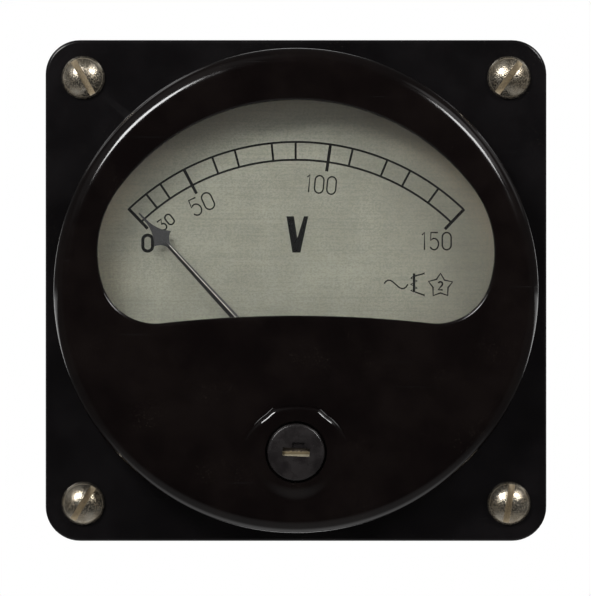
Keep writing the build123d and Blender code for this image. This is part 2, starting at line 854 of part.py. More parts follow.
# Zero lever: turns on the front bearing, its fork round the eccentric pin, its tab holding the spring
fork_slot = 2 * (eccentric_radius + lever_fork_clearance)
fork_length = 2 * eccentric_offset + fork_slot
spring_back = spring_middle - spring_width / 2
with BuildPart() as zero_lever:
    with BuildSketch(ahead(lever_back)):
        with Locations(pivot):
            Circle(lever_hub_radius)
        with Locations((0, pivot_z - lever_to_pin / 2)):
            Rectangle(lever_arm_width, lever_to_pin)
        with Locations((0, pivot_z - lever_to_pin)):
            SlotOverall(fork_length + lever_arm_width, lever_fork_width, rotation=90)
        with Locations(clock_point(tab_radius / 2, tab_angle, pivot)):
            Rectangle(lever_arm_width * 0.8, tab_radius + tab_thick, rotation=-tab_angle)
        with Locations((0, pivot_z - lever_to_pin - eccentric_offset)):
            Rectangle(fork_slot, fork_length + 2 * eccentric_offset, mode=Mode.SUBTRACT)
        with Locations(pivot):
            Circle(bearing_radius + lever_play, mode=Mode.SUBTRACT)
    extrude(amount=lever_thick)
    with BuildSketch(ahead(spring_back)):
        with Locations(clock_point(tab_radius + tab_thick / 2, tab_angle, pivot)):
            Rectangle(tab_width, tab_thick, rotation=-tab_angle)
    extrude(amount=lever_back - spring_back)
zero_lever.part.label = "zero_lever"
export_step(zero_lever.part, "parts/zero_lever.step")

# Hairspring: a flat spiral from the collet out to the lever's tab
spring_inner = collet_radius + spring_clearance + spring_strip / 2
spring_outer = tab_radius - spring_strip / 2 - thread_clearance


def spring_edge(side, steps_per_turn=12):
    """Points along one edge of the spiral strip, inner end first."""
    steps = round(spring_turns * steps_per_turn)
    grow = spring_outer - spring_inner
    return [
        clock_point(
            spring_inner + grow * i / steps + side * spring_strip / 2,
            tab_angle - 360 * spring_turns * (1 - i / steps),
            pivot,
        )
        for i in range(steps + 1)
    ]


with BuildPart() as hairspring:
    with BuildSketch(ahead(spring_back)):
        with BuildLine():
            inner_edge = spring_edge(-1)
            outer_edge = spring_edge(1)
            Spline(*inner_edge)
            Spline(*outer_edge)
            Line(inner_edge[0], outer_edge[0])
            Line(inner_edge[-1], outer_edge[-1])
        make_face()
    extrude(amount=spring_width)
hairspring.part.label = "hairspring"
export_step(hairspring.part, "parts/hairspring.step")

# Moving system, drawn at rest
fit_radius = staff_radius + thread_clearance
with BuildPart() as staff:
    with BuildSketch(Plane.XY):
        with BuildLine():
            Polyline(
                (0, -front_tip),
                (staff_radius * 0.9, -(front_tip - pivot_cone)),
                (staff_radius, -(front_tip - pivot_cone)),
                (staff_radius, -(rear_tip + pivot_cone)),
                (staff_radius * 0.9, -(rear_tip + pivot_cone)),
                (0, -rear_tip),
                close=True,
            )
        make_face()
    revolve(axis=Axis.Y)
staff_at_pivot = staff.part.moved(Location((0, 0, pivot_z)))
staff_at_pivot.label = "staff"
export_step(staff_at_pivot, "parts/staff.step")


def chevron(half, height):
    """The section of the folded shaft, open towards the dial, drawn into the open sketch."""
    sheet = min(pointer_sheet, 0.45 * half)
    with BuildLine() as outline:
        Polyline(
            (-half, 0),
            (0, height),
            (half, 0),
            (half - sheet, 0),
            (0, height - sheet * height / half),
            (-half + sheet, 0),
            close=True,
        )
    make_face(outline.edges())


def shaft_section(along):
    """The plane across the pointer at a distance from the pivot, its y towards the front."""
    base = needle_plane(pointer_back)
    place = base.from_local_coords((0, along, 0))
    return Plane(origin=place, x_dir=base.x_dir, z_dir=-base.y_dir)


with BuildPart() as pointer:
    with BuildSketch(shaft_section(pointer_shaft_root)):
        chevron(pointer_shaft_root_half, pointer_fold_height)
    with BuildSketch(shaft_section(pointer_shaft_end)):
        chevron(pointer_shaft_tip_half, pointer_fold_height * 0.6)
    loft()
    with BuildSketch(needle_plane(pointer_back)):
        with BuildLine():
            neck = pointer_shaft_tip_half
            flare = (pointer_corner + pointer_shaft_end) / 2 - 0.2
            Spline(
                (neck, pointer_shaft_end - 1.0),
                (neck * 1.5, flare),
                (pointer_corner_half, pointer_corner),
            )
            taper = pointer_corner + (pointer_neck - pointer_corner) * 0.4
            Spline(
                (pointer_corner_half, pointer_corner),
                (pointer_corner_half * 0.45, taper),
                (0.25, pointer_neck),
            )
            Polyline((0.25, pointer_neck), (0.12, pointer_tip), (0, pointer_tip))
            mirror(about=Plane.YZ)
            Line((neck, pointer_shaft_end - 1.0), (-neck, pointer_shaft_end - 1.0))
        make_face()
    extrude(amount=pointer_sheet)
    with BuildSketch(needle_plane(pointer_back)):
        Circle(pointer_ring_radius)
    extrude(amount=pointer_sheet)
    with BuildSketch(needle_plane(pointer_back)):
        Circle(fit_radius)
    extrude(amount=bridge_gap, mode=Mode.SUBTRACT)
pointer.part.label = "pointer"
export_step(pointer.part, "parts/pointer.step")

hub_back = pointer_back - hub_length
with BuildPart() as pointer_hub:
    with BuildSketch(needle_plane(hub_back)):
        Circle(hub_radius)
        Circle(fit_radius, mode=Mode.SUBTRACT)
    extrude(amount=hub_length)
pointer_hub.part.label = "pointer_hub"
export_step(pointer_hub.part, "parts/pointer_hub.step")

arm_back = hub_back - arm_thick
arm_turns = (180 - arm_spread, 180 + arm_spread)
with BuildPart() as balance_arms:
    with BuildSketch(needle_plane(arm_back)):
        Circle(hub_radius)
        for turn in arm_turns:
            with Locations(clock_point(arm_reach / 2, turn)):
                Rectangle(arm_width, arm_reach, rotation=-turn)
        Circle(fit_radius, mode=Mode.SUBTRACT)
    extrude(amount=arm_thick)
balance_arms.part.label = "balance_arms"
export_step(balance_arms.part, "parts/balance_arms.step")

with BuildPart() as balance_weights:
    for turn in arm_turns:
        base = needle_plane(arm_back + arm_thick / 2, turn)
        start = base.from_local_coords((0, weight_center - weight_length / 2, 0))
        with BuildSketch(Plane(origin=start, x_dir=base.x_dir, z_dir=base.y_dir)):
            Circle(weight_radius)
            Rectangle(
                arm_width + 2 * thread_clearance,
                arm_thick + 2 * thread_clearance,
                mode=Mode.SUBTRACT,
            )
        extrude(amount=weight_length)
balance_weights.part.label = "balance_weights"
export_step(balance_weights.part, "parts/balance_weights.step")

with BuildPart() as spring_collet:
    with BuildSketch(needle_plane(spring_middle - collet_length / 2)):
        Circle(collet_radius)
        Circle(fit_radius, mode=Mode.SUBTRACT)
    extrude(amount=collet_length)
spring_collet.part.label = "spring_collet"
export_step(spring_collet.part, "parts/spring_collet.step")

# Moving iron: a bent vane opposite the pointer, on a sleeve on the staff
iron_half = moving_iron_half_angle
with BuildPart() as moving_iron:
    with BuildSketch(needle_plane(moving_iron_middle - moving_iron_length / 2, 180)):
        sector(
            (0, 0), moving_iron_radius, moving_iron_radius + iron_sheet, -iron_half, iron_half
        )
    extrude(amount=moving_iron_length)
    with BuildSketch(needle_plane(moving_iron_middle - sleeve_length / 2, 180)):
        Circle(sleeve_radius)
        with Locations((0, moving_iron_radius / 2 + iron_sheet / 4)):
            Rectangle(iron_sheet, moving_iron_radius + iron_sheet / 2)
    extrude(amount=sleeve_length)
    with BuildSketch(needle_plane(moving_iron_middle - moving_iron_length / 2)):
        Circle(fit_radius)
    extrude(amount=moving_iron_length, mode=Mode.SUBTRACT)
moving_iron.part.label = "moving_iron"
export_step(moving_iron.part, "parts/moving_iron.step")

# Fixed iron: a tapering tongue against the bobbin's bore, wide where the moving iron rests
fixed_start = pointer_rest + 180 - moving_iron_half_angle
with BuildPart() as fixed_iron:
    with BuildSketch(ahead(moving_iron_middle - fixed_iron_wide / 2)):
        sector(
            pivot,
            fixed_iron_radius,
            fixed_iron_radius + iron_sheet,
            fixed_start,
            fixed_start + fixed_iron_span,
        )
    extrude(amount=fixed_iron_wide)
    side = needle_plane(0, 180 - moving_iron_half_angle + fixed_iron_span / 2)
    view = Plane(origin=side.origin, x_dir=side.x_dir, z_dir=side.y_dir)
    reach = fixed_iron_radius + iron_sheet
    with BuildSketch(view):
        with BuildLine():
            front_end = view.to_local_coords(
                Vector(side.origin.X, -moving_iron_middle, side.origin.Z)
            ).Y
            Polyline(
                (-reach, front_end - fixed_iron_wide / 2),
                (reach, front_end - fixed_iron_narrow / 2),
                (reach, front_end + fixed_iron_narrow / 2),
                (-reach, front_end + fixed_iron_wide / 2),
                close=True,
            )
        make_face()
    extrude(amount=reach + 1, both=True, mode=Mode.INTERSECT)
fixed_iron.part.label = "fixed_iron"
export_step(fixed_iron.part, "parts/fixed_iron.step")

# Damping vane on its arm, and the chamber that it sweeps
vane_back = damper_rear + damper_wall + vane_clearance
vane_front = plate_back - vane_clearance
vane_middle = (vane_back + vane_front) / 2
with BuildPart() as damping_vane:
    with BuildSketch(needle_plane(vane_back)):
        with Locations((0, (vane_inner + vane_outer) / 2)):
            Rectangle(vane_thick, vane_outer - vane_inner)
    extrude(amount=vane_front - vane_back)
    with BuildSketch(needle_plane(vane_middle - arm_thick)):
        Circle(sleeve_radius)
        with Locations((0, vane_inner / 2)):
            Rectangle(arm_width, vane_inner + arm_width)
        Circle(fit_radius, mode=Mode.SUBTRACT)
    extrude(amount=2 * arm_thick)
damping_vane.part.label = "damping_vane"
export_step(damping_vane.part, "parts/damping_vane.step")

wall_turn = degrees(damper_wall / damper_outer)
low_turn, high_turn = damper_angles
with BuildPart() as damper_box:
    with BuildSketch(ahead(damper_rear)):
        sector(pivot, damper_inner, damper_outer, low_turn - wall_turn, high_turn + wall_turn)
    extrude(amount=damper_depth)
    with BuildSketch(ahead(damper_rear + damper_wall)):
        sector(pivot, damper_inner - 1.0, damper_outer - damper_wall, low_turn, high_turn)
    extrude(amount=damper_depth - damper_wall, mode=Mode.SUBTRACT)
    with BuildSketch(ahead(plate_back - damper_lug_thick)):
        with Locations(*damper_points):
            Circle(damper_lug_radius)
        for angle, (x, z) in zip((-damper_lug_angle, damper_lug_angle), damper_points):
            inner_angle = low_turn if angle < 0 else high_turn
            middle = (angle + inner_angle) / 2 + (-0.3 if angle < 0 else 0.3)
            with Locations(clock_point(damper_lug_ring, middle, pivot)):
                Rectangle(2 * damper_lug_radius, damper_lug_radius, rotation=-middle)
    extrude(amount=damper_lug_thick)
    with BuildSketch(ahead(damper_rear + damper_wall)):
        sector(pivot, damper_inner - 1.0, damper_outer - damper_wall, low_turn, high_turn)
    extrude(amount=damper_depth - damper_wall, mode=Mode.SUBTRACT)
    with BuildSketch(ahead(plate_back - damper_lug_thick)):
        with Locations(*damper_points):
            Circle(small_screw_radius + thread_clearance)
    extrude(amount=damper_lug_thick, mode=Mode.SUBTRACT)
damper_box.part.label = "damper_box"
export_step(damper_box.part, "parts/damper_box.step")

damper_screw = slotted_screw(
    small_screw_radius,
    plate_thick + damper_lug_thick - 0.3,
    small_head_radius,
    small_head,
    small_slot,
)
with BuildPart() as damper_screws:
    with spots(damper_points, plate_front):
        add(damper_screw)
damper_screws.part.label = "damper_screws"
export_step(damper_screws.part, "parts/damper_screws.step")

# Coil: moulded bobbin and its winding
coil_screw_depth = coil_rear_flange - 0.3
with BuildPart() as coil_bobbin:
    with BuildSketch(ahead(coil_rear)):
        with Locations(pivot):
            Circle(coil_flange_radius)
    extrude(amount=coil_rear_flange)
    with BuildSketch(ahead(coil_front)):
        with Locations(pivot):
            Circle(coil_flange_radius)
    extrude(amount=-coil_flange)
    with BuildSketch(ahead(coil_rear)):
        with Locations(pivot):
            Circle(coil_tube_radius)
    extrude(amount=coil_length)
    with BuildSketch(ahead(coil_rear)):
        with Locations(pivot):
            Circle(coil_bore)
    extrude(amount=coil_length, mode=Mode.SUBTRACT)
    with BuildSketch(ahead(coil_rear)):
        with Locations(*coil_screw_points):
            Circle(small_screw_radius + thread_clearance)
    extrude(amount=coil_screw_depth, mode=Mode.SUBTRACT)
coil_bobbin.part.label = "coil_bobbin"
export_step(coil_bobbin.part, "parts/coil_bobbin.step")

with BuildPart() as coil_winding:
    with BuildSketch(ahead(coil_rear + coil_rear_flange)):
        with Locations(pivot):
            Circle(winding_radius)
            Circle(coil_tube_radius, mode=Mode.SUBTRACT)
    extrude(amount=coil_length - coil_rear_flange - coil_flange)
coil_winding.part.label = "coil_winding"
export_step(coil_winding.part, "parts/coil_winding.step")

# Coil bracket behind the coil, on two pillars screwed to the plate
with BuildPart() as coil_bracket:
    with BuildSketch(ahead(bracket_rear)):
        with Locations(pivot):
            RectangleRounded(2 * bracket_end, 2 * bracket_half_width, 2.0)
            Circle(bearing_radius + thread_clearance, mode=Mode.SUBTRACT)
        with Locations(*coil_screw_points, *bracket_points):
            Circle(small_screw_radius + thread_clearance, mode=Mode.SUBTRACT)
    extrude(amount=bracket_thick)
coil_bracket.part.label = "coil_bracket"
export_step(coil_bracket.part, "parts/coil_bracket.step")

coil_screw = slotted_screw(
    small_screw_radius,
    bracket_thick + coil_screw_depth - 0.2,
    small_head_radius,
    small_head,
    small_slot,
)
with BuildPart() as coil_screws:
    with spots(coil_screw_points, bracket_rear, (0, 0, 180)):
        add(coil_screw)
coil_screws.part.label = "coil_screws"
export_step(coil_screws.part, "parts/coil_screws.step")

pillar_thread = 5.0
with BuildPart() as bracket_pillars:
    with BuildSketch(ahead(coil_rear)):
        with Locations(*bracket_points):
            Circle(bracket_pillar_radius)
    extrude(amount=plate_back - coil_rear)
    with BuildSketch(ahead(coil_rear)):
        with Locations(*bracket_points):
            Circle(small_screw_radius + thread_clearance)
    extrude(amount=pillar_thread, mode=Mode.SUBTRACT)
    with BuildSketch(ahead(plate_back)):
        with Locations(*bracket_points):
            Circle(small_screw_radius + thread_clearance)
    extrude(amount=-pillar_thread, mode=Mode.SUBTRACT)
bracket_pillars.part.label = "bracket_pillars"
export_step(bracket_pillars.part, "parts/bracket_pillars.step")

bracket_screw = slotted_screw(
    small_screw_radius, pillar_thread, small_head_radius, small_head, small_slot
)
with BuildPart() as bracket_screws:
    with spots(bracket_points, plate_front):
        add(bracket_screw)
    with spots(bracket_points, bracket_rear, (0, 0, 180)):
        add(bracket_screw)
bracket_screws.part.label = "bracket_screws"
export_step(bracket_screws.part, "parts/bracket_screws.step")

# Terminals
tag_back = floor_front
tag_front = tag_back + tag_thick
stud_head_front = tag_front + terminal_head
washer_one = pad_rear - terminal_washer
nut_one = washer_one - terminal_nut
washer_two = nut_one - terminal_washer
nut_two = washer_two - terminal_nut
stud_rear = nut_two - terminal_end
terminal_fit = terminal_radius + thread_clearance
with BuildPart() as solder_tags:
    with BuildSketch(ahead(tag_back)):
        with Locations(*terminal_points):
            Circle(tag_radius)
        for x, z in terminal_points:
            with Locations((x, z + tag_reach / 2)):
                SlotOverall(tag_reach + tag_tongue, tag_tongue, rotation=90)
            with Locations((x, z + tag_reach)):
                Circle(tag_hole, mode=Mode.SUBTRACT)
        with Locations(*terminal_points):
            Circle(terminal_fit, mode=Mode.SUBTRACT)
    extrude(amount=tag_thick)
solder_tags.part.label = "solder_tags"
export_step(solder_tags.part, "parts/solder_tags.step")

with BuildPart() as terminal_studs:
    with BuildSketch(ahead(stud_rear)):
        with Locations(*terminal_points):
            Circle(terminal_radius)
    extrude(amount=tag_front - stud_rear)
    chamfer(terminal_studs.faces().sort_by(Axis.Y)[-2:].edges(), 0.4)
    with BuildSketch(ahead(tag_front)):
        with Locations(*terminal_points):
            RegularPolygon(terminal_head_flats / 2, 6, major_radius=False)
    extrude(amount=terminal_head)
terminal_studs.part.label = "terminal_studs"
export_step(terminal_studs.part, "parts/terminal_studs.step")

with BuildPart() as terminal_washers:
    for place in (washer_one, washer_two):
        with BuildSketch(ahead(place)):
            with Locations(*terminal_points):
                Circle(terminal_washer_radius)
                Circle(terminal_fit, mode=Mode.SUBTRACT)
        extrude(amount=terminal_washer)
terminal_washers.part.label = "terminal_washers"
export_step(terminal_washers.part, "parts/terminal_washers.step")

terminal_hex = hex_nut(terminal_head_flats, terminal_nut, terminal_fit)
with BuildPart() as terminal_nuts:
    for place in (nut_one, nut_two):
        with spots(terminal_points, place):
            add(terminal_hex)
terminal_nuts.part.label = "terminal_nuts"
export_step(terminal_nuts.part, "parts/terminal_nuts.step")

# Series resistor in its clip behind the plate
resistor_ahead = plate_back - clip_strip - resistor_radius - clip_clearance
clip_outer = resistor_radius + clip_clearance + clip_strip
with BuildPart() as resistor_clip:
    with BuildSketch(Plane.YZ.offset(-clip_width / 2)):
        with Locations((-resistor_ahead, resistor_z)):
            Circle(clip_outer)
        with Locations(((-resistor_ahead - plate_back) / 2, resistor_z)):
            Rectangle(-resistor_ahead + plate_back, 2 * clip_outer)
        with Locations((-resistor_ahead, resistor_z)):
            Circle(resistor_radius + clip_clearance, mode=Mode.SUBTRACT)
            with Locations((clip_outer, 0)):
                Rectangle(clip_outer, resistor_radius * 1.2, mode=Mode.SUBTRACT)
    extrude(amount=clip_width)
resistor_clip.part.label = "resistor_clip"
export_step(resistor_clip.part, "parts/resistor_clip.step")

with BuildPart() as series_resistor:
    with BuildSketch(Plane.YZ.offset(-resistor_length / 2)):
        with Locations((-resistor_ahead, resistor_z)):
            Circle(resistor_radius)
    extrude(amount=resistor_length)
series_resistor.part.label = "series_resistor"
export_step(series_resistor.part, "parts/series_resistor.step")


half_resistor = resistor_length / 2
tag_top = terminal_z + tag_reach
terminal_x = terminal_spacing / 2
with BuildPart() as resistor_lead:
    with BuildLine() as route:
        FilletPolyline(
            (-half_resistor, -resistor_ahead, resistor_z),
            (-terminal_x, -resistor_ahead, resistor_z),
            (-terminal_x, -tag_front, tag_top + 0.2),
            radius=wire_bend,
        )
    with BuildSketch(Plane(origin=route.line @ 0, z_dir=route.line % 0)):
        Circle(resistor_wire_radius)
    sweep()
resistor_lead.part.label = "resistor_lead"
export_step(resistor_lead.part, "parts/resistor_lead.step")

lead_top = pivot_z + (coil_flange_radius**2 - lead_x**2) ** 0.5 + lead_clearance
lead_ahead = coil_front - coil_flange / 2
with BuildPart() as coil_lead_in:
    with BuildLine() as route:
        FilletPolyline(
            (half_resistor, -resistor_ahead, resistor_z),
            (half_resistor + lead_step, -resistor_ahead, resistor_z),
            (half_resistor + lead_step, -lead_ahead - lead_rise, resistor_z - lead_drop),
            (lead_x, -lead_ahead, lead_top + lead_rise),
            (lead_x, -lead_ahead, lead_top),
            radius=wire_bend * 0.7,
        )
    with BuildSketch(Plane(origin=route.line @ 0, z_dir=route.line % 0)):
        Circle(resistor_wire_radius)
    sweep()
coil_lead_in.part.label = "coil_lead_in"
export_step(coil_lead_in.part, "parts/coil_lead_in.step")

tail_ahead = coil_rear + coil_rear_flange / 2
with BuildPart() as coil_lead_out:
    with BuildLine() as route:
        FilletPolyline(
            (lead_x, -tail_ahead, lead_top),
            (lead_x, -tail_ahead, tag_top - lead_step),
            (terminal_x, -tail_ahead, tag_top + 0.5),
            (terminal_x, -tag_front, tag_top),
            radius=wire_bend,
        )
    with BuildSketch(Plane(origin=route.line @ 0, z_dir=route.line % 0)):
        Circle(wire_radius)
    sweep()
coil_lead_out.part.label = "coil_lead_out"
export_step(coil_lead_out.part, "parts/coil_lead_out.step")
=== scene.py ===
# %% [markdown]
# An analog panel meter: a black moulded case with a raised round cover, a curved window over a
# silvered dial, a folded lance pointer, four worn slotted screws and a zero adjuster. The frame
# holds the exact solids in metres, with the dial looking towards -Y. Everything that the eye
# rests on is modelled again here with softer edges, and the rest keeps its solid and gets a
# finish.

# %% Load the frame
from math import atan2, cos, degrees, pi, radians, sin, tau

import bmesh
import bpy
from mathutils import Matrix, Vector


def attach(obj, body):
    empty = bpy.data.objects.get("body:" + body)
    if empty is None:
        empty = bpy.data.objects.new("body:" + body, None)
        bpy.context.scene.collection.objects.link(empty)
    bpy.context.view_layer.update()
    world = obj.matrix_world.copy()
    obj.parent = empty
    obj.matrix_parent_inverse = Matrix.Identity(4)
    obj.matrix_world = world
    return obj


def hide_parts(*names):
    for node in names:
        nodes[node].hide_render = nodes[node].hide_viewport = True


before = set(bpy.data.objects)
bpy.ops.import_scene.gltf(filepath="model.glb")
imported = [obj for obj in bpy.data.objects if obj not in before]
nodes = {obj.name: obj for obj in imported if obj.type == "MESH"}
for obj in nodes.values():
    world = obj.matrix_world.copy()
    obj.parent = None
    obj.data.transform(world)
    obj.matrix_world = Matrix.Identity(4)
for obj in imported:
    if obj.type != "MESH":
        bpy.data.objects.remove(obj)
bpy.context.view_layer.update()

# %% [markdown]
# All drawing below is done in millimetres, because that is how a meter is measured, and each
# finished mesh is scaled to metres once. "Ahead" is the distance in front of the panel, so a
# point ahead by s lies at y = -s. Clock angles run clockwise from straight up.

# %% Sizes that the pieces share
dome_radius = 38.6
dome_front = 14.0
flange_front = 3.6
cover_inner = 36.2
wall_back = 11.8
window_top_center = (0.0, -5.0)
window_top_radius = 35.3
glass_front = 11.4
glass_thickness = 2.0
dial_front = 5.1
pivot = (0.0, -14.9)
pointer_back = 6.8
pointer_rest = -42.6
shaft_length = 30.2
adjuster = (0.0, -25.7)
screw_spread = 34.0
screw_head_radius = 3.45
screw_head_height = 2.5
slot_width = 0.98
slot_floor = 1.05


def clock(radius, angle, center=(0.0, 0.0)):
    """The (x, z) point at a radius and clock angle about a centre."""
    return center[0] + radius * sin(radians(angle)), center[1] + radius * cos(radians(angle))


def facing(ahead):
    """Turns a shape drawn flat in XY so that its top looks at the viewer, and moves it there."""
    return Matrix.Translation((0, -ahead, 0)) @ Matrix.Rotation(radians(90), 4, "X")


# %% [markdown]
# Real black phenolic is never one flat black. Years of handling leave hair-fine scratches, a
# haze and specks of dust, and the mould leaves slow changes of tone. Those effects come back in
# nearly every finish of this meter, so each one is a node group that is built once and placed in
# the materials with its own numbers. A group hands out masks only. The shader stays outside.

# %% Node helpers


def new_group(name, inputs, outputs):
    """An empty node group with float inputs {name: default} and named float outputs."""
    group = bpy.data.node_groups.new(name, "ShaderNodeTree")
    for label, value in inputs.items():
        socket = group.interface.new_socket(label, in_out="INPUT", socket_type="NodeSocketFloat")
        socket.default_value = value
    for label in outputs:
        group.interface.new_socket(label, in_out="OUTPUT", socket_type="NodeSocketFloat")
    return group, group.nodes.new("NodeGroupInput"), group.nodes.new("NodeGroupOutput")


def calc(tree, operation, first, second=None, clamp=False):
    """A Math node whose inputs are sockets or numbers. Returns its output socket."""
    node = tree.nodes.new("ShaderNodeMath")
    node.operation = operation
    node.use_clamp = clamp
    for socket, value in zip(node.inputs, (first, second)):
        if hasattr(value, "is_output"):
            tree.links.new(value, socket)
        elif value is not None:
            socket.default_value = value
    return node.outputs[0]


def place(tree, scale=(1, 1, 1), turn=0.0, shift=(0, 0, 0)):
    """Object coordinates, moved, turned about the dial's axis and stretched."""
    coordinates = tree.nodes.new("ShaderNodeTexCoord")
    mapping = tree.nodes.new("ShaderNodeMapping")
    mapping.inputs["Location"].default_value = shift
    mapping.inputs["Rotation"].default_value = (0, radians(turn), 0)
    mapping.inputs["Scale"].default_value = scale
    tree.links.new(coordinates.outputs["Object"], mapping.inputs["Vector"])
    return mapping.outputs[0]


def noise(tree, vector, scale, detail=3.0, rough=0.5):
    """A Noise Texture on a vector. Its scale may be a socket."""
    node = tree.nodes.new("ShaderNodeTexNoise")
    tree.links.new(vector, node.inputs["Vector"])
    if hasattr(scale, "is_output"):
        tree.links.new(scale, node.inputs["Scale"])
    else:
        node.inputs["Scale"].default_value = scale
    node.inputs["Detail"].default_value = detail
    node.inputs["Roughness"].default_value = rough
    return node.outputs["Fac"]


def ramp(tree, value, low, high, to_low=0.0, to_high=1.0, smooth=True):
    """Maps a span of a value onto another span, clamped."""
    node = tree.nodes.new("ShaderNodeMapRange")
    node.interpolation_type = "SMOOTHSTEP" if smooth else "LINEAR"
    spans = {"From Min": low, "From Max": high, "To Min": to_low, "To Max": to_high}
    for label, number in spans.items():
        node.inputs[label].default_value = number
    tree.links.new(value, node.inputs["Value"])
    return node.outputs[0]


def tint(tree, mask, first, second):
    """Mixes two colours by a mask. Each colour may be three numbers or a socket."""
    node = tree.nodes.new("ShaderNodeMix")
    node.data_type = "RGBA"
    tree.links.new(mask, node.inputs["Factor"])
    for socket, value in ((node.inputs[6], first), (node.inputs[7], second)):
        if hasattr(value, "is_output"):
            tree.links.new(value, socket)
        else:
            socket.default_value = (*value, 1)
    return node.outputs[2]


# %% Shared effects


def build_scratches():
    """Hair-fine scratches: long thin noise at three angles, only its crests kept."""
    group, inlet, outlet = new_group("Fine scratches", {"Scale": 1.0, "Amount": 0.5}, ["Mask"])
    total = None
    for turn, stretch in ((23.0, 40.0), (-48.0, 55.0), (81.0, 35.0)):
        vector = place(group, (30, 30, 30 * stretch), turn)
        lines = noise(group, vector, inlet.outputs["Scale"], 2.0, 0.6)
        crest = ramp(group, lines, 0.66, 0.74)
        patch = noise(group, place(group, (60, 60, 60), turn), 1.0, 2.0)
        kept = calc(group, "MULTIPLY", crest, ramp(group, patch, 0.5, 0.68))
        total = kept if total is None else calc(group, "MAXIMUM", total, kept)
    result = calc(group, "MULTIPLY", total, inlet.outputs["Amount"], clamp=True)
    group.links.new(result, outlet.inputs["Mask"])
    return group


def build_dust():
    """Sparse specks: the cores of Voronoi cells, kept in drifting patches."""
    group, inlet, outlet = new_group("Dust specks", {"Scale": 1.0, "Amount": 0.5}, ["Mask"])
    cells = group.nodes.new("ShaderNodeTexVoronoi")
    group.links.new(place(group, (900, 900, 900)), cells.inputs["Vector"])
    group.links.new(inlet.outputs["Scale"], cells.inputs["Scale"])
    core = ramp(group, cells.outputs["Distance"], 0.22, 0.08)
    drift = ramp(group, noise(group, place(group, (150, 150, 150)), 1.0), 0.52, 0.72)
    kept = calc(group, "MULTIPLY", core, drift)
    result = calc(group, "MULTIPLY", kept, inlet.outputs["Amount"], clamp=True)
    group.links.new(result, outlet.inputs["Mask"])
    return group


def build_mottle():
    """Slow clouds of tone, from 0 to 1."""
    group, inlet, outlet = new_group("Cloudy tone", {"Scale": 1.0}, ["Mask"])
    cloud = noise(group, place(group, (70, 70, 70)), inlet.outputs["Scale"], 4.0, 0.55)
    group.links.new(ramp(group, cloud, 0.3, 0.7), outlet.inputs["Mask"])
    return group


def build_grain():
    """The marks of a fine brush along X, with a weaker set along Z."""
    group, inlet, outlet = new_group("Brushed grain", {"Scale": 1.0}, ["Mask"])
    along = noise(group, place(group, (60, 1200, 3200)), inlet.outputs["Scale"], 2.0, 0.7)
    across = noise(group, place(group, (2600, 1200, 90)), inlet.outputs["Scale"], 2.0, 0.7)
    both = calc(group, "ADD", calc(group, "MULTIPLY", along, 0.8), calc(group, "MULTIPLY", across, 0.2))
    group.links.new(ramp(group, both, 0.3, 0.7, smooth=False), outlet.inputs["Mask"])
    return group


effects = {
    "scratches": build_scratches(),
    "dust": build_dust(),
    "mottle": build_mottle(),
    "grain": build_grain(),
}
print("effects", sorted(effects))

# %% [markdown]
# Each finish starts from the same small helper, which makes a material with one Principled
# shader and sets the numbers that are the same all over on the shader's own sockets. What
# changes over the surface is wired to it afterwards.

# %% Finish helpers


def finish(name, color, roughness, metallic=0.0, **constants):
    """A new material. Returns it with its node tree and its Principled shader."""
    material = bpy.data.materials.new(name)
    material.use_nodes = True
    tree = material.node_tree
    shader = tree.nodes["Principled BSDF"]
    shader.inputs["Base Color"].default_value = (*color, 1)
    shader.inputs["Roughness"].default_value = roughness
    shader.inputs["Metallic"].default_value = metallic
    for label, value in constants.items():
        shader.inputs[label.replace("_", " ")].default_value = value
    return material, tree, shader


def effect(tree, name, **numbers):
    """Places one of the shared effects. Returns its mask socket."""
    node = tree.nodes.new("ShaderNodeGroup")
    node.node_tree = effects[name]
    for label, value in numbers.items():
        node.inputs[label].default_value = value
    return node.outputs["Mask"]


def bump(tree, shader, height, strength, distance):
    """Sends a height to the shader's normal."""
    node = tree.nodes.new("ShaderNodeBump")
    node.inputs["Strength"].default_value = strength
    node.inputs["Distance"].default_value = distance
    tree.links.new(height, node.inputs["Height"])
    tree.links.new(node.outputs["Normal"], shader.inputs["Normal"])


# %% [markdown]
# Black phenolic moulding, in two tones: the flange is a cool black and the cover has a brown
# cast, as two mouldings of different age have. Both get clouds of tone, dust in the base colour
# and scratches in the roughness, with a barely uneven surface that breaks up reflections.

# %% Phenolic


def phenolic(name, dark, pale, roughness, ripple):
    """A moulded black plastic between two tones."""
    material, tree, shader = finish(name, dark, roughness, IOR=1.52)
    cloud = effect(tree, "mottle", Scale=1.6)
    dust = effect(tree, "dust", Scale=2.4, Amount=0.2)
    lines = effect(tree, "scratches", Scale=1.0, Amount=0.8)
    base = tint(tree, cloud, dark, pale)
    tree.links.new(tint(tree, dust, base, (0.10, 0.085, 0.065)), shader.inputs["Base Color"])
    worn = calc(tree, "ADD", calc(tree, "MULTIPLY", lines, 0.25), calc(tree, "MULTIPLY", cloud, 0.06))
    tree.links.new(calc(tree, "ADD", worn, roughness, clamp=True), shader.inputs["Roughness"])
    bump(tree, shader, noise(tree, place(tree, (260, 260, 260)), 1.0, 2.0), ripple, 0.0002)
    return material


flange_black = phenolic("Flange phenolic", (0.0042, 0.0036, 0.004), (0.0066, 0.0056, 0.0062), 0.16, 0.08)
cover_black = phenolic("Cover phenolic", (0.0034, 0.0022, 0.0022), (0.0062, 0.0041, 0.0037), 0.10, 0.10)
coil_brown = phenolic("Bobbin moulding", (0.030, 0.016, 0.010), (0.045, 0.025, 0.015), 0.35, 0.10)

# %% [markdown]
# The adjuster's head is a softer, greyer plastic that fingers and screwdrivers have dulled.

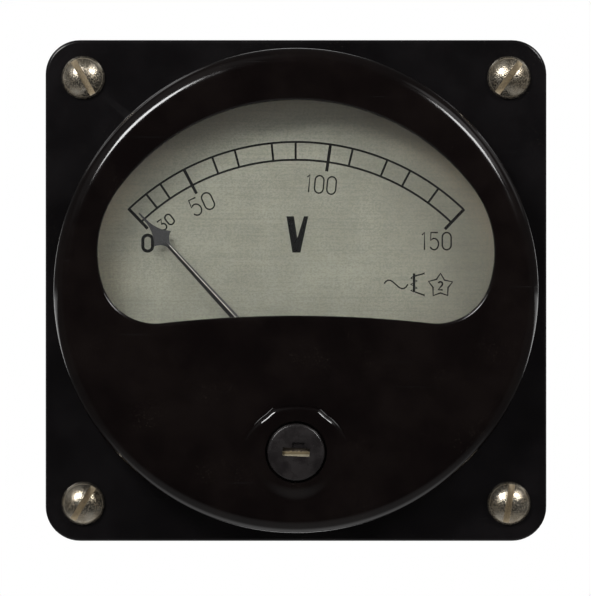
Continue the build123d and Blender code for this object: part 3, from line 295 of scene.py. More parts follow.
# %% Adjuster plastic
adjuster_grey, tree, shader = finish("Adjuster plastic", (0.016, 0.014, 0.014), 0.34, IOR=1.5)
cloud = effect(tree, "mottle", Scale=5.0)
lines = effect(tree, "scratches", Scale=2.2, Amount=1.0)
plain = tint(tree, cloud, (0.010, 0.0085, 0.0088), (0.021, 0.018, 0.018))
tree.links.new(tint(tree, lines, plain, (0.05, 0.048, 0.046)), shader.inputs["Base Color"])
tree.links.new(ramp(tree, cloud, 0, 1, 0.2, 0.32), shader.inputs["Roughness"])

# %% [markdown]
# Most metals come from one function: a clean tone, a dull tone in clouds, and grime in specks.
# Brass, zinc on steel, plain sheet, steel, spring bronze and enamelled copper differ only in
# their colours and their gloss.

# %% Metals


def metal(name, color, dull, grime, roughness):
    """A metal between a clean and a dull tone, with specks of grime and clouds of gloss."""
    material, tree, shader = finish(name, color, roughness, 1.0)
    cloud = effect(tree, "mottle", Scale=9.0)
    specks = effect(tree, "dust", Scale=2.5, Amount=0.9)
    lines = effect(tree, "scratches", Scale=3.0, Amount=0.8)
    base = tint(tree, cloud, color, dull)
    tree.links.new(tint(tree, specks, base, grime), shader.inputs["Base Color"])
    gloss = calc(tree, "ADD", calc(tree, "MULTIPLY", cloud, 0.14), calc(tree, "MULTIPLY", lines, 0.2))
    tree.links.new(calc(tree, "ADD", gloss, roughness, clamp=True), shader.inputs["Roughness"])
    bump(tree, shader, noise(tree, place(tree, (2500, 2500, 2500)), 1.0, 3.0), 0.15, 0.0001)
    return material


brass = metal("Brass", (0.72, 0.53, 0.26), (0.50, 0.36, 0.17), (0.16, 0.10, 0.05), 0.28)
zinc = metal("Zinc on steel", (0.60, 0.60, 0.57), (0.42, 0.42, 0.40), (0.20, 0.18, 0.14), 0.30)
sheet = metal("Sheet metal", (0.58, 0.58, 0.56), (0.44, 0.44, 0.42), (0.22, 0.21, 0.18), 0.34)
steel = metal("Steel", (0.46, 0.45, 0.44), (0.30, 0.29, 0.28), (0.14, 0.11, 0.08), 0.26)
bronze = metal("Spring bronze", (0.66, 0.42, 0.24), (0.50, 0.32, 0.18), (0.20, 0.12, 0.07), 0.26)
copper = metal("Enamelled copper", (0.55, 0.19, 0.08), (0.36, 0.11, 0.05), (0.12, 0.05, 0.03), 0.22)

# %% [markdown]
# The brass core shows only at the bottom of the adjuster's slot. Its upper side, where the slot's upper
# wall casts its shadow, is painted dark brown as painted shade, and a painted highlight makes its lower
# side pale.

# %% Adjuster core
core_brass, tree, shader = finish("Core brass", (0.6, 0.45, 0.24), 0.42, 1.0)
parts = tree.nodes.new("ShaderNodeSeparateXYZ")
tree.links.new(place(tree, (1000, 1000, 1000)), parts.inputs[0])
rough_line = noise(tree, place(tree, (1600, 1600, 1600)), 1.0, 3.0)
height = calc(tree, "ADD", parts.outputs["Z"], calc(tree, "MULTIPLY", rough_line, 0.8))
# Painted shade: the core's upper side, in the shadow of the slot's upper wall, is darkened to brown,
# dull and not metallic.
dirt_and_shade = ramp(tree, height, adjuster[1] + 0.2, adjuster[1] + 0.65)
front = ramp(tree, parts.outputs["Y"], -14.5, -14.9)
dirt_and_shade = calc(tree, "MULTIPLY", dirt_and_shade, front)
# Painted highlight: the lower side of the core is painted pale brass.
lower_band = ramp(tree, parts.outputs["Z"], adjuster[1] - 0.3, adjuster[1] - 0.45)
painted_highlight = calc(tree, "MULTIPLY", lower_band, front)
base = tint(tree, painted_highlight, (0.5, 0.4, 0.24), (0.95, 0.85, 0.62))
tree.links.new(tint(tree, dirt_and_shade, base, (0.035, 0.024, 0.014)), shader.inputs["Base Color"])
tree.links.new(ramp(tree, dirt_and_shade, 0, 1, 1.0, 0.0), shader.inputs["Metallic"])
tree.links.new(ramp(tree, dirt_and_shade, 0, 1, 0.42, 0.8), shader.inputs["Roughness"])

# %% [markdown]
# The panel screws are nickel that has aged: speckled brown, dull in clouds, and with tan dirt
# packed into the bottom of each slot. The four screws sit symmetrically, so the distance from the
# nearest screw's axis comes from the absolute values of X and Z. The dirt covers the slot's floor
# and the foot of its walls. It stays ahead of the flange, so the shanks are clean.

# %% Worn nickel
nickel, tree, shader = finish("Worn nickel", (0.5, 0.46, 0.4), 0.25, 1.0)
parts = tree.nodes.new("ShaderNodeSeparateXYZ")
tree.links.new(place(tree, (1000, 1000, 1000)), parts.inputs[0])
beside = [calc(tree, "SUBTRACT", calc(tree, "ABSOLUTE", parts.outputs[k]), screw_spread) for k in "XZ"]
squares = [calc(tree, "MULTIPLY", v, v) for v in beside]
axis = calc(tree, "SQRT", calc(tree, "ADD", squares[0], squares[1]))
ahead = calc(tree, "MULTIPLY", parts.outputs["Y"], -1.0)
dirt_top = flange_front + slot_floor + 0.15
deep = ramp(tree, ahead, dirt_top, dirt_top - 0.1)
deep = calc(tree, "MULTIPLY", deep, ramp(tree, ahead, flange_front, flange_front + 0.2))
inside = ramp(tree, axis, screw_head_radius - 0.25, screw_head_radius - 0.45)
dirt_and_shade = calc(tree, "MULTIPLY", deep, inside)
cloud = effect(tree, "mottle", Scale=7.0)
speck = ramp(tree, noise(tree, place(tree, (5200, 5200, 5200)), 1.0, 3.0, 0.6), 0.4, 0.7)
lines = effect(tree, "scratches", Scale=3.0, Amount=0.8)
base = tint(tree, cloud, (0.86, 0.79, 0.66), (0.6, 0.51, 0.38))
base = tint(tree, calc(tree, "MULTIPLY", speck, 0.5), base, (0.24, 0.19, 0.125))
packed = tint(tree, speck, (0.4, 0.32, 0.2), (0.15, 0.115, 0.075))
tree.links.new(tint(tree, dirt_and_shade, base, packed), shader.inputs["Base Color"])
whole = calc(tree, "SUBTRACT", 1.0, calc(tree, "MULTIPLY", speck, 0.25))
bare = calc(tree, "MULTIPLY", whole, ramp(tree, dirt_and_shade, 0, 1, 1.0, 0.1))
tree.links.new(bare, shader.inputs["Metallic"])
gloss = calc(tree, "ADD", calc(tree, "MULTIPLY", speck, 0.14), calc(tree, "MULTIPLY", lines, 0.2))
gloss = calc(tree, "ADD", calc(tree, "ADD", gloss, calc(tree, "MULTIPLY", cloud, 0.08)), 0.14)
gloss = calc(tree, "MAXIMUM", gloss, calc(tree, "MULTIPLY", dirt_and_shade, 0.55))
tree.links.new(gloss, shader.inputs["Roughness"])
bump(tree, shader, speck, 0.35, 0.00003)

# %% [markdown]
# Window glass, its rubber seal, the resistor's glazed body and the dial's ink are plain. The glass
# keeps a full transmission, and its pane casts no shadow, so that the lamps reach the dial.

# %% Glass, rubber, glaze and ink
glass = finish("Window glass", (1, 1, 1), 0.0, IOR=1.46, Transmission_Weight=1.0)[0]
rubber = finish("Black rubber", (0.012, 0.012, 0.012), 0.7)[0]
glaze = finish("Resistor glaze", (0.05, 0.14, 0.09), 0.25)[0]
ink = finish("Dial ink", (0.003, 0.003, 0.003), 0.85, Specular_IOR_Level=0.0)[0]

# %% [markdown]
# A thin, pale and smoother metal-coloured line is painted along the pointer's ridge, a little to the
# right of the fold, and the right facet, which faces the right lamp, is painted lighter than the left as
# a painted sheen. The mask is the distance across the pointer's own line at rest.

# %% Pointer paint
paint, tree, shader = finish("Pointer paint", (0.01, 0.01, 0.01), 0.5, Specular_IOR_Level=0.3)
across = place(tree, (1000, 1000, 1000), 0.0, (0, 0, -pivot[1]))
spin = tree.nodes.new("ShaderNodeVectorRotate")
spin.rotation_type = "Y_AXIS"
spin.inputs["Angle"].default_value = radians(-pointer_rest)
tree.links.new(across, spin.inputs["Vector"])
parts = tree.nodes.new("ShaderNodeSeparateXYZ")
tree.links.new(spin.outputs[0], parts.inputs[0])
# A pale, smoother metal-coloured line is painted along the ridge, a little right of the fold.
beside = calc(tree, "ABSOLUTE", calc(tree, "SUBTRACT", parts.outputs["X"], 0.12))
ridge_line = ramp(tree, beside, 0.08, 0.03)
on_shaft = ramp(tree, parts.outputs["Z"], shaft_length, shaft_length - 0.6)
ridge_line = calc(tree, "MULTIPLY", ridge_line, on_shaft)
ridge_line = calc(tree, "MULTIPLY", ridge_line, ramp(tree, effect(tree, "mottle", Scale=12.0), 0, 1, 0.5, 1.0))
# Painted light: the right facet, which faces the right lamp, is painted lighter than the left.
painted_lit_facet = ramp(tree, parts.outputs["X"], -0.1, 0.1)
plain = tint(tree, painted_lit_facet, (0.005, 0.005, 0.005), (0.022, 0.022, 0.022))
on_head = ramp(tree, parts.outputs["Z"], shaft_length - 0.3, shaft_length + 0.4)
plain = tint(tree, on_head, plain, (0.017, 0.017, 0.0175))
tree.links.new(tint(tree, ridge_line, plain, (0.5, 0.48, 0.42)), shader.inputs["Base Color"])
tree.links.new(ramp(tree, ridge_line, 0, 1, 0.5, 0.3), shader.inputs["Roughness"])

# %% [markdown]
# The dial is silvered brass with a matt lacquer. Its tone is a warm green-grey that darkens towards the
# right. Under the window's top rim the colour is darkened to brown, partly tarnish of the lacquer and
# partly painted shade of the rim, so the band follows the window's own outline: a distance from its top
# arc, measured in Object coordinates, broken up by clouds. A fine brush runs mostly along X, under an
# even speckle.

# %% Dial face


def radius_from(tree, x, z):
    """The distance in millimetres from a point of the dial, measured in its plane."""
    vector = place(tree, (1000, 0, 1000), 0.0, (-x, 0, -z))
    node = tree.nodes.new("ShaderNodeVectorMath")
    node.operation = "LENGTH"
    tree.links.new(vector, node.inputs[0])
    return node.outputs["Value"]


dial_face, tree, shader = finish("Dial face", (0.25, 0.25, 0.21), 0.5)
left_shoulder = (-14.6, 6.1)
left_side = (-40.0, 4.0)
darkening_center = (-34.0, 6.0)
from_top = radius_from(tree, *window_top_center)
top_edge = ramp(tree, from_top, window_top_radius - 5.3, window_top_radius + 0.7)
left_edge = ramp(tree, radius_from(tree, *left_shoulder), 9.0, 16.0)
cloud = effect(tree, "mottle", Scale=2.2)
fine = effect(tree, "mottle", Scale=9.0)
grain = effect(tree, "grain", Scale=1.0)
base = tint(tree, cloud, (0.169, 0.169, 0.124), (0.215, 0.218, 0.163))
base = tint(tree, calc(tree, "MULTIPLY", fine, 0.35), base, (0.168, 0.174, 0.142))
# Darker towards the right, with distance from this centre.
right_darkening = ramp(tree, radius_from(tree, *darkening_center), 42.0, 66.0)
base = tint(tree, calc(tree, "MULTIPLY", right_darkening, 0.7), base, (0.125, 0.117, 0.083))
left_tint = calc(tree, "MULTIPLY", left_edge, ramp(tree, cloud, 0, 1, 0.3, 0.7))
left_tint = calc(tree, "MULTIPLY", left_tint, ramp(tree, radius_from(tree, *left_side), 18.0, 12.0))
base = tint(tree, left_tint, base, (0.225, 0.208, 0.14))
# Painted shade, partly tarnish: brown under the window's top rim, where the rim casts its shadow.
shade = calc(tree, "MULTIPLY", top_edge, ramp(tree, cloud, 0, 1, 0.5, 0.85))
base = tint(tree, shade, base, (0.15, 0.122, 0.076))
speckle = ramp(tree, noise(tree, place(tree, (3000, 3000, 4200)), 1.0, 2.0, 0.7), 0.3, 0.7, smooth=False)
mark = calc(tree, "ADD", calc(tree, "MULTIPLY", grain, 0.35), calc(tree, "MULTIPLY", speckle, 0.65))
dark = tint(tree, ramp(tree, mark, 0.25, 0.8, 0.0, 0.5), base, (0.10, 0.10, 0.08))
tree.links.new(dark, shader.inputs["Base Color"])
tree.links.new(ramp(tree, grain, 0, 1, 0.42, 0.6), shader.inputs["Roughness"])
bump(tree, shader, mark, 0.2, 0.00005)
print("finishes", len(bpy.data.materials))

# %% [markdown]
# A piece ends the same way each time: doubles merged, faces turned outwards, millimetres turned
# to metres, smooth shading with sharp edges kept, and the piece tied to the body it moves with.

# %% Piece helpers


def finish_piece(name, bm, material, body, replaced=(), angle=35.0, normals=True, flats=False):
    """Turns a bmesh in millimetres into a piece of the meter. Flats keep faces along an axis flat."""
    bmesh.ops.remove_doubles(bm, verts=bm.verts, dist=0.001)
    if normals:
        bmesh.ops.recalc_face_normals(bm, faces=bm.faces)
    bmesh.ops.scale(bm, vec=(0.001, 0.001, 0.001), verts=bm.verts)
    mesh = bpy.data.meshes.new(name)
    bm.to_mesh(mesh)
    bm.free()
    mesh.polygons.foreach_set(
        "use_smooth", [not flats or max(map(abs, f.normal)) < 0.99999 for f in mesh.polygons]
    )
    mesh.set_sharp_from_angle(angle=radians(angle))
    mesh.materials.append(material)
    piece = bpy.data.objects.new(name, mesh)
    bpy.context.scene.collection.objects.link(piece)
    even = piece.modifiers.new("even normals", "WEIGHTED_NORMAL")
    even.keep_sharp = True
    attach(piece, body)
    if replaced:
        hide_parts(*replaced)
    print(f"{name}: {len(mesh.polygons)} faces on {body}")
    return piece


def lathe(bm, profile, center=(0.0, 0.0), steps=96):
    """Spins a profile of (radius, ahead) points about the axis through a dial point."""
    before = set(bm.verts)
    verts = [bm.verts.new((r, -s, 0)) for r, s in profile]
    edges = [bm.edges.new(pair) for pair in zip(verts, verts[1:])]
    bmesh.ops.spin(
        bm,
        geom=verts + edges,
        cent=(0, 0, 0),
        axis=(0, 1, 0),
        angle=tau,
        steps=steps,
        use_merge=True,
    )
    turned = [v for v in bm.verts if v not in before]
    bmesh.ops.translate(bm, vec=(center[0], 0, center[1]), verts=turned)


def soften(bm, chosen, size, segments=3):
    """Bevels the edges that a test picks out."""
    edges = [edge for edge in bm.edges if chosen(edge)]
    bmesh.ops.bevel(
        bm,
        geom=edges,
        offset=size,
        segments=segments,
        profile=0.5,
        affect="EDGES",
        material=-1,
        clamp_overlap=True,
    )


def all_at(edge, test):
    """Whether both ends of an edge pass a test of (x, ahead, z)."""
    return all(test(v.co.x, -v.co.y, v.co.z) for v in edge.verts)


def is_corner(edge, angle):
    """Whether an edge joins two faces that turn by more than an angle in radians."""
    return len(edge.link_faces) == 2 and edge.calc_face_angle(0) > angle


# %% [markdown]
# The window is not an oval but four kinds of arc that run smoothly into each other: a broad top,
# a shoulder, a tight lower corner and a floor that bulges upwards. One vertex spun about each
# arc's centre in turn draws half of it, and a mirror makes the other half.

# %% The window's outline
top_angle = 52.7
side_angle = 108.0
window_floor = -4.0
side_radius = window_top_radius * 0.4816
corner_radius = side_radius * 0.5177
side_center = clock(window_top_radius - side_radius, top_angle, window_top_center)
corner_center = clock(side_radius - corner_radius, side_angle, side_center)
rise = corner_center[1] - window_floor
floor_radius = (corner_center[0] ** 2 + rise**2 - corner_radius**2) / (2 * (corner_radius - rise))
floor_center = (0.0, window_floor - floor_radius)
floor_angle = degrees(atan2(corner_center[0], corner_center[1] - floor_center[1]))
window_arcs = [
    (window_top_center, top_angle, 40),
    (side_center, side_angle - top_angle, 36),
    (corner_center, floor_angle + 180 - side_angle, 32),
    (floor_center, -floor_angle, 24),
]


def window_loop(bm, ahead, grow=0.0):
    """Draws the window's outline at a depth, grown outwards. Returns its edges."""
    before = set(bm.edges)
    vert = bm.verts.new((0, -ahead, window_top_center[1] + window_top_radius + grow))
    for center, angle, steps in window_arcs:
        spun = bmesh.ops.spin(
            bm,
            geom=[vert],
            cent=(center[0], -ahead, center[1]),
            axis=(0, 1, 0),
            angle=radians(angle),
            steps=steps,
        )
        vert = [g for g in spun["geom_last"] if isinstance(g, bmesh.types.BMVert)][0]
    half = [edge for edge in bm.edges if edge not in before]
    verts = list({v for edge in half for v in edge.verts})
    bmesh.ops.mirror(bm, geom=half + verts, matrix=Matrix.Identity(4), merge_dist=0.001, axis="X")
    drawn = list({v for edge in bm.edges if edge not in before for v in edge.verts})
    bmesh.ops.remove_doubles(bm, verts=drawn, dist=0.001)
    return [edge for edge in bm.edges if edge not in before]


print("window floor radius", round(floor_radius, 1), "floor angle", round(floor_angle, 2))

# %% [markdown]
# The round cover is one moulding. Its front face is the band between the window's outline and a
# circle, made by bridging the two loops. Both loops are pulled back into walls, and the corners
# are then rounded with a bevel, broad on the outside and small round the window. The adjuster's
# boss is a low hood that stands on the face: crisp and faceted above, running out softly below.

# %% Front cover
rim_round = 2.5
window_round = 0.55
inside_rim = 34.0
boss_front = 15.0
boss_mouth = 4.9
boss_drop = 1.02
boss_steps = 16
hood_reach = ((0, 7.4), (14, 7.5), (28, 7.9), (39, 7.68), (50, 7.85), (180, 7.85))


def ring_edges(bm, radius, ahead, segments=256):
    """A circle of edges about the dial's axis."""
    made = bmesh.ops.create_circle(
        bm, cap_ends=False, radius=radius, segments=segments, matrix=facing(ahead)
    )
    return list({edge for v in made["verts"] for edge in v.link_edges})


def pull(bm, edges, distance):
    """Extrudes open edges along the dial's axis. Returns the new edges."""
    made = bmesh.ops.extrude_edge_only(bm, edges=edges)["geom"]
    verts = [g for g in made if isinstance(g, bmesh.types.BMVert)]
    bmesh.ops.translate(bm, vec=(0, -distance, 0), verts=verts)
    chosen = set(verts)
    return [e for e in made if isinstance(e, bmesh.types.BMEdge) and set(e.verts) <= chosen]


bm = bmesh.new()
window_front = window_loop(bm, dome_front)
rim_front = ring_edges(bm, dome_radius, dome_front)
bmesh.ops.bridge_loops(bm, edges=window_front + rim_front)
rim_back = pull(bm, rim_front, flange_front - dome_front)
window_back = pull(bm, window_front, wall_back - dome_front)
inner_front = ring_edges(bm, cover_inner, wall_back)
bmesh.ops.bridge_loops(bm, edges=window_back + inner_front)
inner_back = pull(bm, inner_front, flange_front - wall_back)
bmesh.ops.bridge_loops(bm, edges=rim_back + inner_back)
bmesh.ops.recalc_face_normals(bm, faces=bm.faces)


def on_rim(x, s, z):
    """Whether a point lies on the cover's front rim."""
    return s > dome_front - 0.001 and (x * x + z * z) ** 0.5 > dome_radius - 0.01


def on_window(x, s, z):
    """Whether a point lies on the front edge of the window."""
    return s > dome_front - 0.001 and (x * x + z * z) ** 0.5 < inside_rim


soften(bm, lambda edge: all_at(edge, on_rim), rim_round, 14)
soften(bm, lambda edge: all_at(edge, on_window) and is_corner(edge, 0.5), window_round, 6)


def boss_point(clock_angle, step):
    """A (radius, ahead) point of the adjuster's boss, step by step from its mouth outwards."""
    t = step / boss_steps
    side = abs(clock_angle)
    for (a, low), (b, high) in zip(hood_reach, hood_reach[1:]):
        if a <= side <= b:
            reach = low + (high - low) * (side - a) / (b - a)
    edge_drop = 1 - (1 - max(0.0, (t - 0.6) / 0.4) ** 2.2) ** 0.5
    upper = (boss_mouth + (reach - boss_mouth) * t, boss_front - boss_drop * edge_drop)
    lower = (boss_mouth + 3.5 * t, boss_front - boss_drop * t * t * (3 - 2 * t))
    share = min(1.0, max(0.0, (side - 47) / 40))
    share = share * share * (3 - 2 * share)
    return tuple(u + (v - u) * share for u, v in zip(upper, lower))


rows = []
for angle in range(-180, 180, 2):
    points = [(boss_mouth - 0.15, dome_front - 0.2)]
    points += [boss_point(angle, k) for k in range(boss_steps + 1)]
    row = []
    for r, s in points:
        x, z = clock(r, angle, adjuster)
        row.append(bm.verts.new((x, -s, z)))
    rows.append(row)
for row, following in zip(rows, rows[1:] + rows[:1]):
    for k in range(boss_steps + 1):
        bm.faces.new((row[k], row[k + 1], following[k + 1], following[k]))
finish_piece("cover", bm, cover_black, "housing", ["front_cover"], 50)

# %% [markdown]
# The case is copied from its solid, because its shape is already exact. The copy's loose
# triangles are merged, so that smooth shading can run over the curved walls while true corners
# stay sharp.

# %% Pieces copied from their solids


def smooth_copy(name, node, material, body, angle=32.0):
    """A merged, smooth-shaded copy of a solid that stands in for it."""
    bm = bmesh.new()
    bm.from_mesh(nodes[node].data)
    bmesh.ops.scale(bm, vec=(1000, 1000, 1000), verts=bm.verts)
    bmesh.ops.remove_doubles(bm, verts=bm.verts, dist=0.002)
    bmesh.ops.dissolve_degenerate(bm, edges=bm.edges, dist=0.002)
    bmesh.ops.dissolve_limit(
        bm, angle_limit=radians(0.3), verts=bm.verts, edges=bm.edges, use_dissolve_boundaries=False
    )
    finish_piece(name, bm, material, body, [node], angle, normals=False, flats=True)


smooth_copy("case", "rear_case", flange_black, "housing")

# %% [markdown]
# The glass is a flat pane with the window's outline, a little larger so that its edge hides
# under the cover, with its sharp edges just broken.

# %% Window glass
bm = bmesh.new()
loop = window_loop(bm, glass_front, 1.2)
bmesh.ops.contextual_create(bm, geom=loop)
loop_back = pull(bm, loop, -glass_thickness)
bmesh.ops.contextual_create(bm, geom=loop_back)
bmesh.ops.recalc_face_normals(bm, faces=bm.faces)
soften(bm, lambda edge: is_corner(edge, 1.2), 0.1, 1)
pane = finish_piece("pane", bm, glass, "housing", ["window_glass"], 20)
pane.visible_shadow = False

# %% [markdown]
# A round-headed slotted screw: a shallow dome, spun from its arc, with a slot cut right across.
# The mesh is sliced along the slot's two sides and its floor, the strip above the floor is taken
# out, and the walls and floor are filled in. A bevel breaks the slot's edges as a screwdriver
# does. The thread is one V profile spun along a helix.

# %% Screw helpers


def dome_profile(radius, height, steps=22):
    """Points of a quarter ellipse from its top to its rim."""
    turns = [pi / 2 * i / steps for i in range(steps + 1)]
    return [(radius * sin(turn), height * cos(turn)) for turn in turns]


def cut_slot(bm, width, floor):
    """Cuts a slot along Z, of a width in X, down to a floor ahead of the origin."""
    half = width / 2
    for x in (-half, half):
        geom = bm.verts[:] + bm.edges[:] + bm.faces[:]
        bmesh.ops.bisect_plane(bm, geom=geom, dist=1e-5, plane_co=(x, 0, 0), plane_no=(1, 0, 0))
    strip = [f for f in bm.faces if abs(f.calc_center_median().x) < half]
    geom = strip + list({e for f in strip for e in f.edges}) + list({v for f in strip for v in f.verts})
    bmesh.ops.bisect_plane(bm, geom=geom, dist=1e-5, plane_co=(0, -floor, 0), plane_no=(0, 1, 0))

    def above_floor(face):
        middle = face.calc_center_median()
        return abs(middle.x) < half and -middle.y > floor

    def on_floor(vert):
        return abs(vert.co.y + floor) < 1e-4

    def on_side(vert, x):
        return abs(vert.co.x - x) < 1e-4

    def on_slot_edge(edge):
        raised = all(abs(abs(v.co.x) - half) < 1e-4 and -v.co.y > floor + 0.02 for v in edge.verts)
        return raised and len(edge.link_faces) == 2

    bmesh.ops.delete(bm, geom=[f for f in bm.faces if above_floor(f)], context="FACES")
    chords = []
    for x in (-half, half):
        ends = sorted((v for v in bm.verts if on_side(v, x) and on_floor(v)), key=lambda v: v.co.z)
        chord = bm.edges.new((ends[0], ends[-1]))
        arc = [e for e in bm.edges if e.is_boundary and all(on_side(v, x) for v in e.verts)]
        bmesh.ops.edgeloop_fill(bm, edges=arc + [chord])
        chords.append(chord)
    ends = [e for e in bm.edges if e.is_boundary and e not in chords and all(map(on_floor, e.verts))]
    bmesh.ops.edgeloop_fill(bm, edges=ends + chords)
    bmesh.ops.recalc_face_normals(bm, faces=bm.faces)
    soften(bm, on_slot_edge, 0.06, 2)


def thread(bm, radius, start, end, pitch=0.7, steps=20):
    """A V thread about the Y axis, from one place ahead to a lower one."""
    root = radius - 0.22
    verts = [
        bm.verts.new((root, -start, 0)),
        bm.verts.new((radius, -start + 0.44 * pitch, 0)),
        bm.verts.new((radius, -start + 0.56 * pitch, 0)),
        bm.verts.new((root, -start + pitch, 0)),
    ]
    edges = [bm.edges.new(pair) for pair in zip(verts, verts[1:])]
    turns = (start - end) / pitch - 1
    total = int(turns * steps)
    bmesh.ops.spin(
        bm,
        geom=verts + edges,
        cent=(0, 0, 0),
        axis=(0, 1, 0),
        dvec=(0, pitch / steps, 0),
        angle=tau * total / steps,
        steps=total,
    )


# %% Panel screws


def panel_screw():
    """One M4 screw in millimetres, its head on the origin's plane, as a mesh."""
    bm = bmesh.new()
    underside = [(0.0, -0.05), (screw_head_radius - 0.15, -0.05)]
    lathe(bm, underside + dome_profile(screw_head_radius, screw_head_height)[::-1], steps=72)
    bmesh.ops.remove_doubles(bm, verts=bm.verts, dist=0.001)
    cut_slot(bm, slot_width, slot_floor)
    core, tip = 1.75, -16.0
    lathe(bm, ((0, 0.0), (core, 0.0), (core, tip + 0.4), (core - 0.3, tip), (0, tip)), steps=32)
    thread(bm, 2.0, -flange_front, tip + 0.1)
    mesh = bpy.data.meshes.new("panel screw")
    bm.to_mesh(mesh)
    bm.free()
    return mesh


slot_turns = {(-1, 1): 120.0, (1, 1): 53.0, (-1, -1): 58.0, (1, -1): 81.0}
screw_mesh = panel_screw()
bm = bmesh.new()
for (right, above), turn in slot_turns.items():
    x, z = right * screw_spread, above * screw_spread
    before = set(bm.verts)
    bm.from_mesh(screw_mesh)
    new = [v for v in bm.verts if v not in before]
    spot = Matrix.Translation((x, -flange_front, z)) @ Matrix.Rotation(radians(90 - turn), 4, "Y")
    bmesh.ops.transform(bm, matrix=spot, verts=new)
finish_piece("screws", bm, nickel, "housing", ["panel_screws"], 38)

# %% [markdown]
# The zero adjuster's head is a disc with a rounded edge. Its slot has square ends and a shallower
# notch on its upper side, which shows where the eccentric pin is. The top face is filled between
# the rim and that outline. The walls go down to the notch's floor, and then the slot alone goes
# on to the brass core.

# %% Zero adjuster
head_front = 15.8
head_radius = 4.55
head_thickness = 1.75
head_turn = 2.5
head_round = 0.42
notch_depth = 0.45
slot_depth = 0.8
slot_round = 0.07
shaft_radius, shaft_front, shaft_back = 2.6, 14.1, 10.52
slot_wall = ((-0.65, 0.65), (-2.15, 0.65), (-2.15, -0.65), (2.15, -0.65), (2.15, 0.65), (1.25, 0.65))
notch_wall = ((1.25, 1.5), (-0.65, 1.5))
bm = bmesh.new()


def loop_of(bm, points, ahead):
    """A closed loop of edges through (x, z) points at a depth."""
    verts = [bm.verts.new((x, -ahead, z)) for x, z in points]
    return [bm.edges.new(pair) for pair in zip(verts, verts[1:] + verts[:1])]


def on_head_rim(x, s, z):
    """Whether a point lies on the head's front rim."""
    return s > head_front - 0.01 and (x * x + z * z) ** 0.5 > head_radius - 0.05


def on_slot_rim(x, s, z):
    """Whether a point lies on the front edge of the slot or its notch."""
    return s > head_front - 0.01 and (x * x + z * z) ** 0.5 < 3.0


opening = loop_of(bm, slot_wall + notch_wall, head_front)
rim = ring_edges(bm, head_radius, head_front, 96)
bmesh.ops.triangle_fill(bm, use_beauty=True, edges=opening + rim)
walls = pull(bm, opening, -notch_depth)
lower = sorted({v for edge in walls for v in edge.verts}, key=lambda v: (v.co.z, v.co.x))
ledge = [v for v in lower if v.co.z > 0.6 and -0.7 < v.co.x < 1.3]
notch_edges = [edge for edge in walls if all(v in ledge for v in edge.verts)]
slot_edges = [edge for edge in walls if edge not in notch_edges]
across = bm.edges.new(ledge[:2])
bmesh.ops.contextual_create(bm, geom=notch_edges + [across])
pull(bm, slot_edges + [across], notch_depth - slot_depth)
foot = pull(bm, rim, -head_thickness)
bmesh.ops.contextual_create(bm, geom=foot)
bmesh.ops.recalc_face_normals(bm, faces=bm.faces)
soften(bm, lambda edge: all_at(edge, on_head_rim), head_round, 5)
soften(bm, lambda edge: all_at(edge, on_slot_rim), slot_round, 2)
turned = Matrix.Rotation(radians(head_turn), 3, "Y")
bmesh.ops.rotate(bm, cent=(0, 0, 0), matrix=turned, verts=bm.verts)
bmesh.ops.translate(bm, vec=(adjuster[0], 0, adjuster[1]), verts=bm.verts)
shaft = ((0, shaft_front), (shaft_radius, shaft_front), (shaft_radius, shaft_back), (0, shaft_back))
lathe(bm, shaft, adjuster, 48)
finish_piece(
    "adjuster_head", bm, adjuster_grey, "adjuster", ["zero_adjuster"], 38
)

# %% [markdown]
# The pointer is cut from thin sheet. Its shaft is folded along its length, so that it has two
# facets and a ridge, and its head is a lance with hollow sides. It is drawn lying along +Z from
# the pivot, across by u, and turned to its rest.

# %% Pointer


def hollow(start, end, pull_to, steps=8):
    """Points on a curve between two points that bends towards a third."""
    points = []
    for i in range(1, steps + 1):
        t = i / steps
        points.append(
            tuple(
                (1 - t) ** 2 * a + 2 * t * (1 - t) * b + t * t * c
                for a, b, c in zip(start, pull_to, end)
            )
        )
    return points


bm = bmesh.new()
head_start = shaft_length - 0.3
right_side = [(0.0, head_start), (0.3, head_start)]
right_side += hollow((0.3, head_start), (1.85, 31.45), (0.75, 31.1))
right_side += hollow((1.85, 31.45), (0.22, 34.9), (0.45, 32.9))
right_side += [(0.12, 37.0), (0.0, 37.0)]
outline = right_side + [(-u, v) for u, v in right_side[-2:0:-1]]
head = bm.faces.new([bm.verts.new((u, -pointer_back - 0.32, v)) for u, v in outline])
bmesh.ops.solidify(bm, geom=[head], thickness=0.2)
bmesh.ops.recalc_face_normals(bm, faces=bm.faces)
soften(bm, lambda edge: is_corner(edge, 1.2), 0.04, 1)

sections = []
shaft = ((1.2, 0.8, 0.5, 0.0), (shaft_length, 0.34, 0.34, 0.06), (31.6, 0.1, 0.33, 0.06))
for v, half, fold, lift in shaft:
    back = pointer_back + lift
    outer = ((-half, back), (0.0, back + fold), (half, back))
    inner = ((half * 0.82, back), (0.0, back + fold - 0.2), (-half * 0.82, back))
    sections.append([bm.verts.new((u, -s, v)) for u, s in outer + inner])
for lower, upper in zip(sections, sections[1:]):
    for i in range(6):
        j = (i + 1) % 6
        bm.faces.new((lower[i], lower[j], upper[j], upper[i]))
bm.faces.new(sections[0])
bm.faces.new(sections[-1])
eye = ((0.7, 0.0), (2.2, 0.0), (2.2, 0.2), (0.7, 0.2), (0.7, 0.0))
lathe(bm, [(r, pointer_back + s) for r, s in eye], steps=48)
turned = Matrix.Rotation(radians(pointer_rest), 3, "Y")
bmesh.ops.rotate(bm, cent=(0, 0, 0), matrix=turned, verts=bm.verts)
bmesh.ops.translate(bm, vec=(pivot[0], 0, pivot[1]), verts=bm.verts)
finish_piece("lance", bm, paint, "moving_system", ["pointer"], 25)

